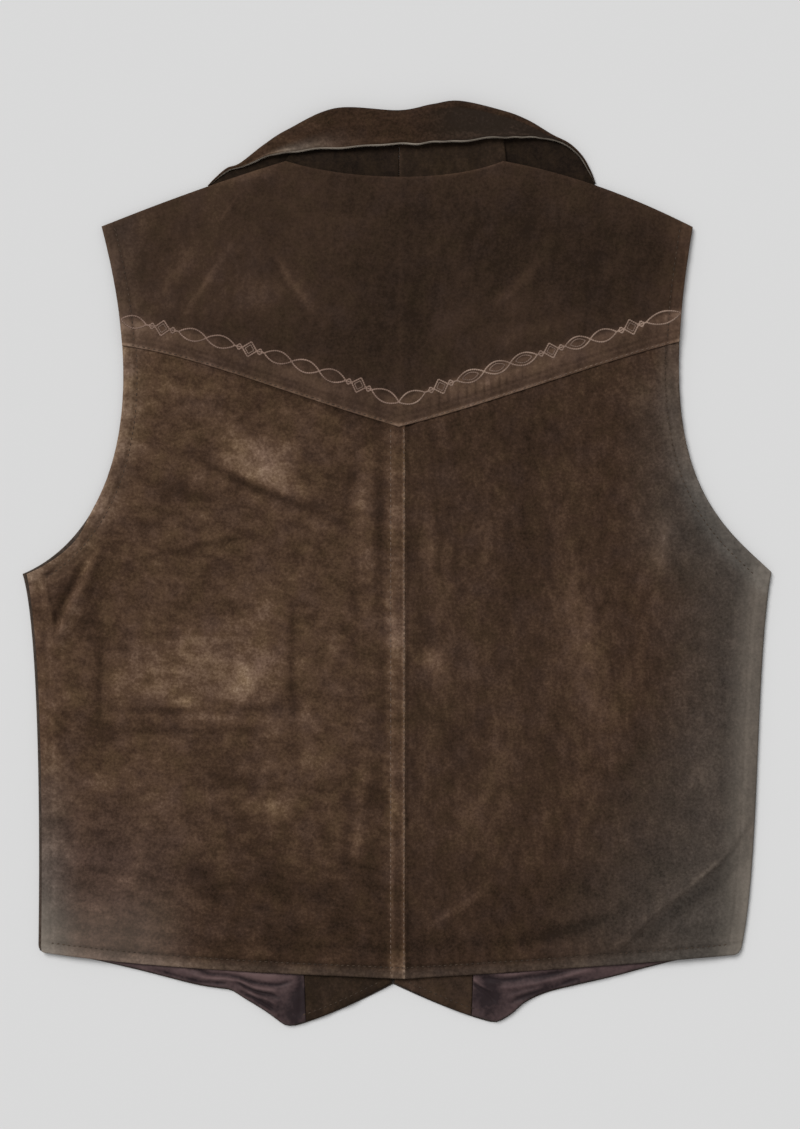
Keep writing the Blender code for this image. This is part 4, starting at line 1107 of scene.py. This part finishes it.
def facingLay(plan, half):
    # Flat on the front, with a shallow channel along the stitching near its lower edge
    channel = 0.30 * bell(nearest(plan, cutawayLine(half)), 5, 3) + 0.25 * (1 + unevenness(plan, 31, 24))
    under = lapelLift(plan) + cut["layer"] + ease(plan[..., 1], -290, -302) * channel
    return clothFaces(under, cut["suede"], rimDistance(plan) if plan.ndim == 3 else np.inf, front["innerEdge"])


def liningLay(plan, half):
    # Flat under the back; past the hem it falls into slack folds
    line = hem(half)[:: half["side"]]
    past = np.interp(plan[..., 0], line[:, 0], line[:, 1]) - plan[..., 1]
    loose = 0.75 + creaseHeights(plan, liningFolds[half["name"]]) + 0.08 * unevenness(plan, 34, 13)
    under = lapelLift(plan) + cut["layer"] + np.maximum(loose, -0.3) * ease(past, -5, 3)
    return clothFaces(under, cut["lining"], rimDistance(plan), front["innerEdge"])


for half in halves:
    side, left = half["name"], half["side"] < 0
    plan = frontPlan(half)
    lay = clothFaces(lapelLift(plan), cut["suede"], rimDistance(plan), front["edge"])
    panel = clothShell(f"suede_front_{side}", plan, *lay, outerSuede, evenWearAndShade(plan, -0.05 if left else -0.3, 0.45))
    sewnIn(panel, f"front_{side}", "suede", front["frontCut"], "laid", [f"suede_lapel_{side}"], gridArea(plan))

    plan = facingPlan(half)
    lay = facingLay(plan, half)
    facing = clothShell(f"suede_facing_{side}", plan, *lay, facingSuede, evenWearAndShade(plan, 0.02 if left else 0.42))
    sewnIn(facing, f"facing_{side}", "facing_suede", front["facingCut"], "laid", [panel.name], gridArea(plan))
    line = inset(cutawayLine(half)[5:-10], front["facingStitch"], half["side"])
    seamPaths.append(onCloth(line, lambda spots, half=half: facingLay(spots, half)[0]))

    plan = liningPlan(half)
    # The lining's colour is painted light: lighter over the crests of its slack folds and darker in their troughs, plus
    # the painted marks
    rubAndShade = rubbedAndShaded(plan, liningShading[side]) + (0.40 if left else 0.32) * creaseHeights(plan, liningFolds[side])
    lining = clothShell(f"satin_lining_{side}", plan, *liningLay(plan, half), liningSatin, {"rubAndShade": rubAndShade})
    sewnIn(lining, f"lining_{side}", "lining", front["liningCut"], "laid", [panel.name], gridArea(plan))
print("fronts, facings and linings made")

# Collar: the fall from its roll to the raw leaf edge, the stand under it and the lapels


def collarMesh():
    # A C-shaped profile carried along the roll: fall, half-round roll and returned edge outside, less the thickness inside
    roll, inward, depth, height = collarLines(collar["stepsPerSection"])
    place = np.linspace(0, 1, len(roll))[:, None]
    turns = 2 * np.pi * place
    # The leaf edge is slightly wavy, as cut by hand
    depth = depth + (0.40 * np.sin(11 * turns + 0.5) + 0.35 * np.sin(19 * turns + 2)) * ease(depth, 0, 20)
    deep = ease(depth, 0, 20)
    radius = np.minimum(height / 2, 0.45 * depth)
    thick = np.minimum(collar["thickness"], 0.40 * height)
    raw = np.minimum(collar["rawEdge"], 0.3 * depth)
    returned = np.minimum(collar["return"], depth * collar["returnShare"])
    outer, inner = [], []
    fall = np.concatenate([[1, 0.985], np.linspace(0.93, 0, collar["fallRows"] - 2, endpoint=False)])
    for share in fall:
        wave = 0.25 * np.sin(9 * turns + 4 * share) * share + 0.15 * np.sin(23 * turns + 1.3)
        ridge = 0.35 * bell(share, 0.86, 0.07) - 0.25 * bell(share, 0.74, 0.05)
        z = height - collar["leafDrop"] * share + (wave + ridge) * deep * ease(share, 0, 0.3)
        outer.append((radius + (depth - raw - radius) * share, z - 0.35 * thick * bell(share, 1, 0.04)))
        inner.append((radius + (depth - radius) * share, z - thick))
    for angle in np.linspace(np.pi / 2, -np.pi / 2, collar["rollRows"]):
        outer.append((radius - radius * np.cos(angle), height / 2 * (1 + np.sin(angle))))
        inside = np.maximum(radius - thick, 0.1)
        inner.append((radius - inside * np.cos(angle), height / 2 + (height / 2 - thick) * np.sin(angle)))
    for share in np.linspace(0, 1, 5)[1:]:
        outer.append((radius + (returned - radius) * share, 0 * height))
        inner.append((radius + (returned - radius) * share, thick))
    loop = np.array([np.hstack([roll + inward * out, z]) for out, z in outer + inner[::-1]])
    count, columns = loop.shape[:2]
    k = np.arange(count * columns).reshape(count, columns)
    # The ends are closed by quads across the thickness
    first = np.arange(count // 2 - 1)
    pairs = np.stack([first, first + 1, count - 2 - first, count - 1 - first], axis=-1)
    sides = gridFaces(count + 1, columns) % (count * columns)
    faces = np.concatenate([sides, k[:, 0][pairs][:, ::-1], k[:, -1][pairs]])
    return loop, faces, collarWear(fall[:, None], place[:, 0], count)


def collarWear(fall, place, count):
    # Pale at the raw leaf edge, light on the wearer's left with one dusty patch, dark on the right
    rubAndShade, dustAndSheen, bareAndSheen = np.zeros((3, count, len(place)))
    bareAndSheen[0], bareAndSheen[-1], bareAndSheen[-2] = 0.75, 1.0, 0.2
    patchy = 0.22 * np.sin(37 * place) * np.sin(91 * place + 1) + 0.14 * np.sin(17 * place + 0.6)
    bareAndSheen *= 0.72 + patchy + 0.20 * ease(place, 0.28, 0.18)
    left, right = ease(place, 0.44, 0.22), ease(place, 0.44, 0.60)
    patch = bell(place, 0.305, 0.05) * ease(fall, 0.35, 0.85)
    end = len(fall)
    rubAndShade[:end] = -0.32 + 0.25 * bell(fall, 0.9, 0.10) + (0.20 + 0.40 * ease(fall, 0.5, 1)) * left + 0.56 * patch - 0.40 * right
    rubAndShade[end : end + collar["rollRows"]] = -0.34 + 0.16 * left
    dustAndSheen[:end] = 0.5 * patch + 0.18 * right
    return {"rubAndShade": rubAndShade, "dustAndSheen": dustAndSheen, "bareAndSheen": bareAndSheen}


def standPlan(half):
    seam = collarSeam(stand["steps"])
    left, centre, right = (collar[k] * stand["steps"] for k in ("leftNeck", "centre", "rightNeck"))
    top = seam[left : centre + 1][::-1] if half["side"] < 0 else seam[centre : right + 1]
    u, v = np.linspace(0, 1, len(top)), np.linspace(0, 1, stand["rows"])
    neck = neckline() - [0, stand["neckOverlap"]]
    neckX = np.linspace(top[0, 0], half["neckPoint"][0] + half["side"] * stand["pastNeck"], len(top))
    bottom = np.stack([neckX, np.interp(neckX, neck[:, 0], neck[:, 1])], axis=-1)
    for edge in (top, bottom):
        edge[0, 0] += half["side"] * cut["seamGap"] / 2
    start, end = (straight(bottom[k], top[k], v) for k in (0, -1))
    return coons(bottom, top, start, end, u, v), v[:, None]


def standLay(plan, v, half):
    # Low at the collar, one layer up over the lapel's end, and close under the yoke's neck edge
    end = ease(np.abs(plan[..., 0]) - abs(half["neckPoint"][0]), -22, -12)
    lie = cut["layer"] * np.maximum(ease(v, 1, 0), end)
    lie = lie + np.maximum(backUnder(plan) - cut["suede"] - 0.15 - lie, 0) * ease(v, 0.60, 0.18)
    return clothFaces(lie, cut["suede"], rimDistance(plan), stand["edge"])


def lapelPlan(half):
    seam = collarSeam(lapel["steps"])
    if half["side"] < 0:
        top = seam[: collar["leftNeck"] * lapel["steps"] + lapel["reach"]][::-1]
    else:
        top = seam[collar["rightNeck"] * lapel["steps"] - lapel["reach"] :]
    u = np.linspace(0, 1, len(top))
    v = gridShares(lapel["rows"])
    neck = np.array(half["neckPoint"]) - [half["side"] * lapel["insideNeck"], 0]
    inner = along(np.array([(frontEdgeX(half), cut["frontBreakY"]), neck, top[0]]), v)
    outer = along(lapelEdge(half), v)
    return coons(straight(inner[0], outer[0], u), top, inner, outer, u, v)


points, faces, state = collarMesh()
piece = newPiece("suede_collar_fall", points, faces.tolist(), collarSuede, state)
below = ["suede_undercollar_left", "suede_undercollar_right"]
sewnIn(piece, "collar_fall", "suede", collar["cut"], "folded", below, gridArea(points[: len(points) // 2]))
for half in halves:
    side, left = half["name"], half["side"] < 0
    plan, v = standPlan(half)
    # The stand shows only in the gap under the collar's fall; its darker suede is painted shade
    state = evenWearAndShade(plan, -0.06 if left else 0.24)
    state["rubAndShade"] += 0.35 * bell(plan[..., 0], 2, 1.6)
    piece = clothShell(f"suede_undercollar_{side}", plan, *standLay(plan, v, half), shadedFacingSuede, state)
    sewnIn(piece, f"undercollar_{side}", "facing_suede", stand["cut"], "laid", ["floor"], gridArea(plan))

    plan = lapelPlan(half)
    lay = clothFaces(np.zeros(plan.shape[:2]), cut["suede"], rimDistance(plan), lapel["edge"])
    # The lapels show only in that gap too: their darker suede, darker still on the wearer's right, is painted shade
    piece = clothShell(f"suede_lapel_{side}", plan, *lay, shadedFacingSuede, evenWearAndShade(plan, -0.05 if left else -0.14))
    sewnIn(piece, f"lapel_{side}", "suede", lapel["cut"], "folded", ["floor"], gridArea(plan))
print("collar made")

# Seam topstitching
seamLook = {"pitch": 4.2, "length": 2.8, "width": 0.75, "height": 0.55, "slant": 6, "seed": 22}
stitches("seam_topstitching", seamPaths, seamLook, seamThread)
stitches("centre_back_stitching", ridgePaths, dict(seamLook, pitch=4.1, length=3.2, width=1.0), ridgeThread)
print("topstitching made")

# Floor, light and camera, in metres. The picture is taken to be 800 by 1129.
studio = {
    "floor": "#e9e9e9", "floorSize": 6.0, "key": 2.05, "keyFrom": (-0.75, 0.95, 1.35), "keySpread": 36, "world": 0.37,
    "lens": 85.0, "sensor": 36.0, "frameHeight": 0.858, "middle": (0.0023, -0.0008),
}
reach = studio["floorSize"] / 2
floorMesh = bpy.data.meshes.new("floor")
floorMesh.from_pydata([(x * reach, y * reach, -0.0002) for x, y in ((-1, -1), (1, -1), (1, 1), (-1, 1))], [], [(0, 1, 2, 3)])
floor = bpy.data.objects.new("floor", floorMesh)
scene.collection.objects.link(floor)
paper, tree, place = newMaterial("matt studio paper")
finished(tree, toLinear(studio["floor"]), noise(tree, place, 4, 2), 0.03, 0.1, {"Roughness": 1.0, "Specular IOR Level": 0.0})
floorMesh.materials.append(paper)

# One large far softbox, so that the light is even over the whole floor
light = bpy.data.lights.new("key_softbox", "SUN")
light.energy, light.angle = studio["key"], radians(studio["keySpread"])
lamp = bpy.data.objects.new("key_softbox", light)
towards = np.array(studio["keyFrom"]) / np.linalg.norm(studio["keyFrom"])
lamp.rotation_euler = (np.arccos(towards[2]), 0, np.arctan2(towards[0], -towards[1]))
scene.collection.objects.link(lamp)
world = bpy.data.worlds.new("studio")
world.use_nodes = True
background = world.node_tree.nodes["Background"].inputs
background["Strength"].default_value = studio["world"]
background["Color"].default_value = (1, 1, 1, 1)
scene.world = world
scene.view_settings.view_transform = "Standard"

lens = bpy.data.cameras.new("overhead")
lens.lens, lens.sensor_fit, lens.sensor_height = studio["lens"], "VERTICAL", studio["sensor"]
camera = bpy.data.objects.new("overhead", lens)
camera.location = (*studio["middle"], studio["frameHeight"] * studio["lens"] / studio["sensor"] + 0.004)
scene.collection.objects.link(camera)
scene.camera = camera

print("scene made")
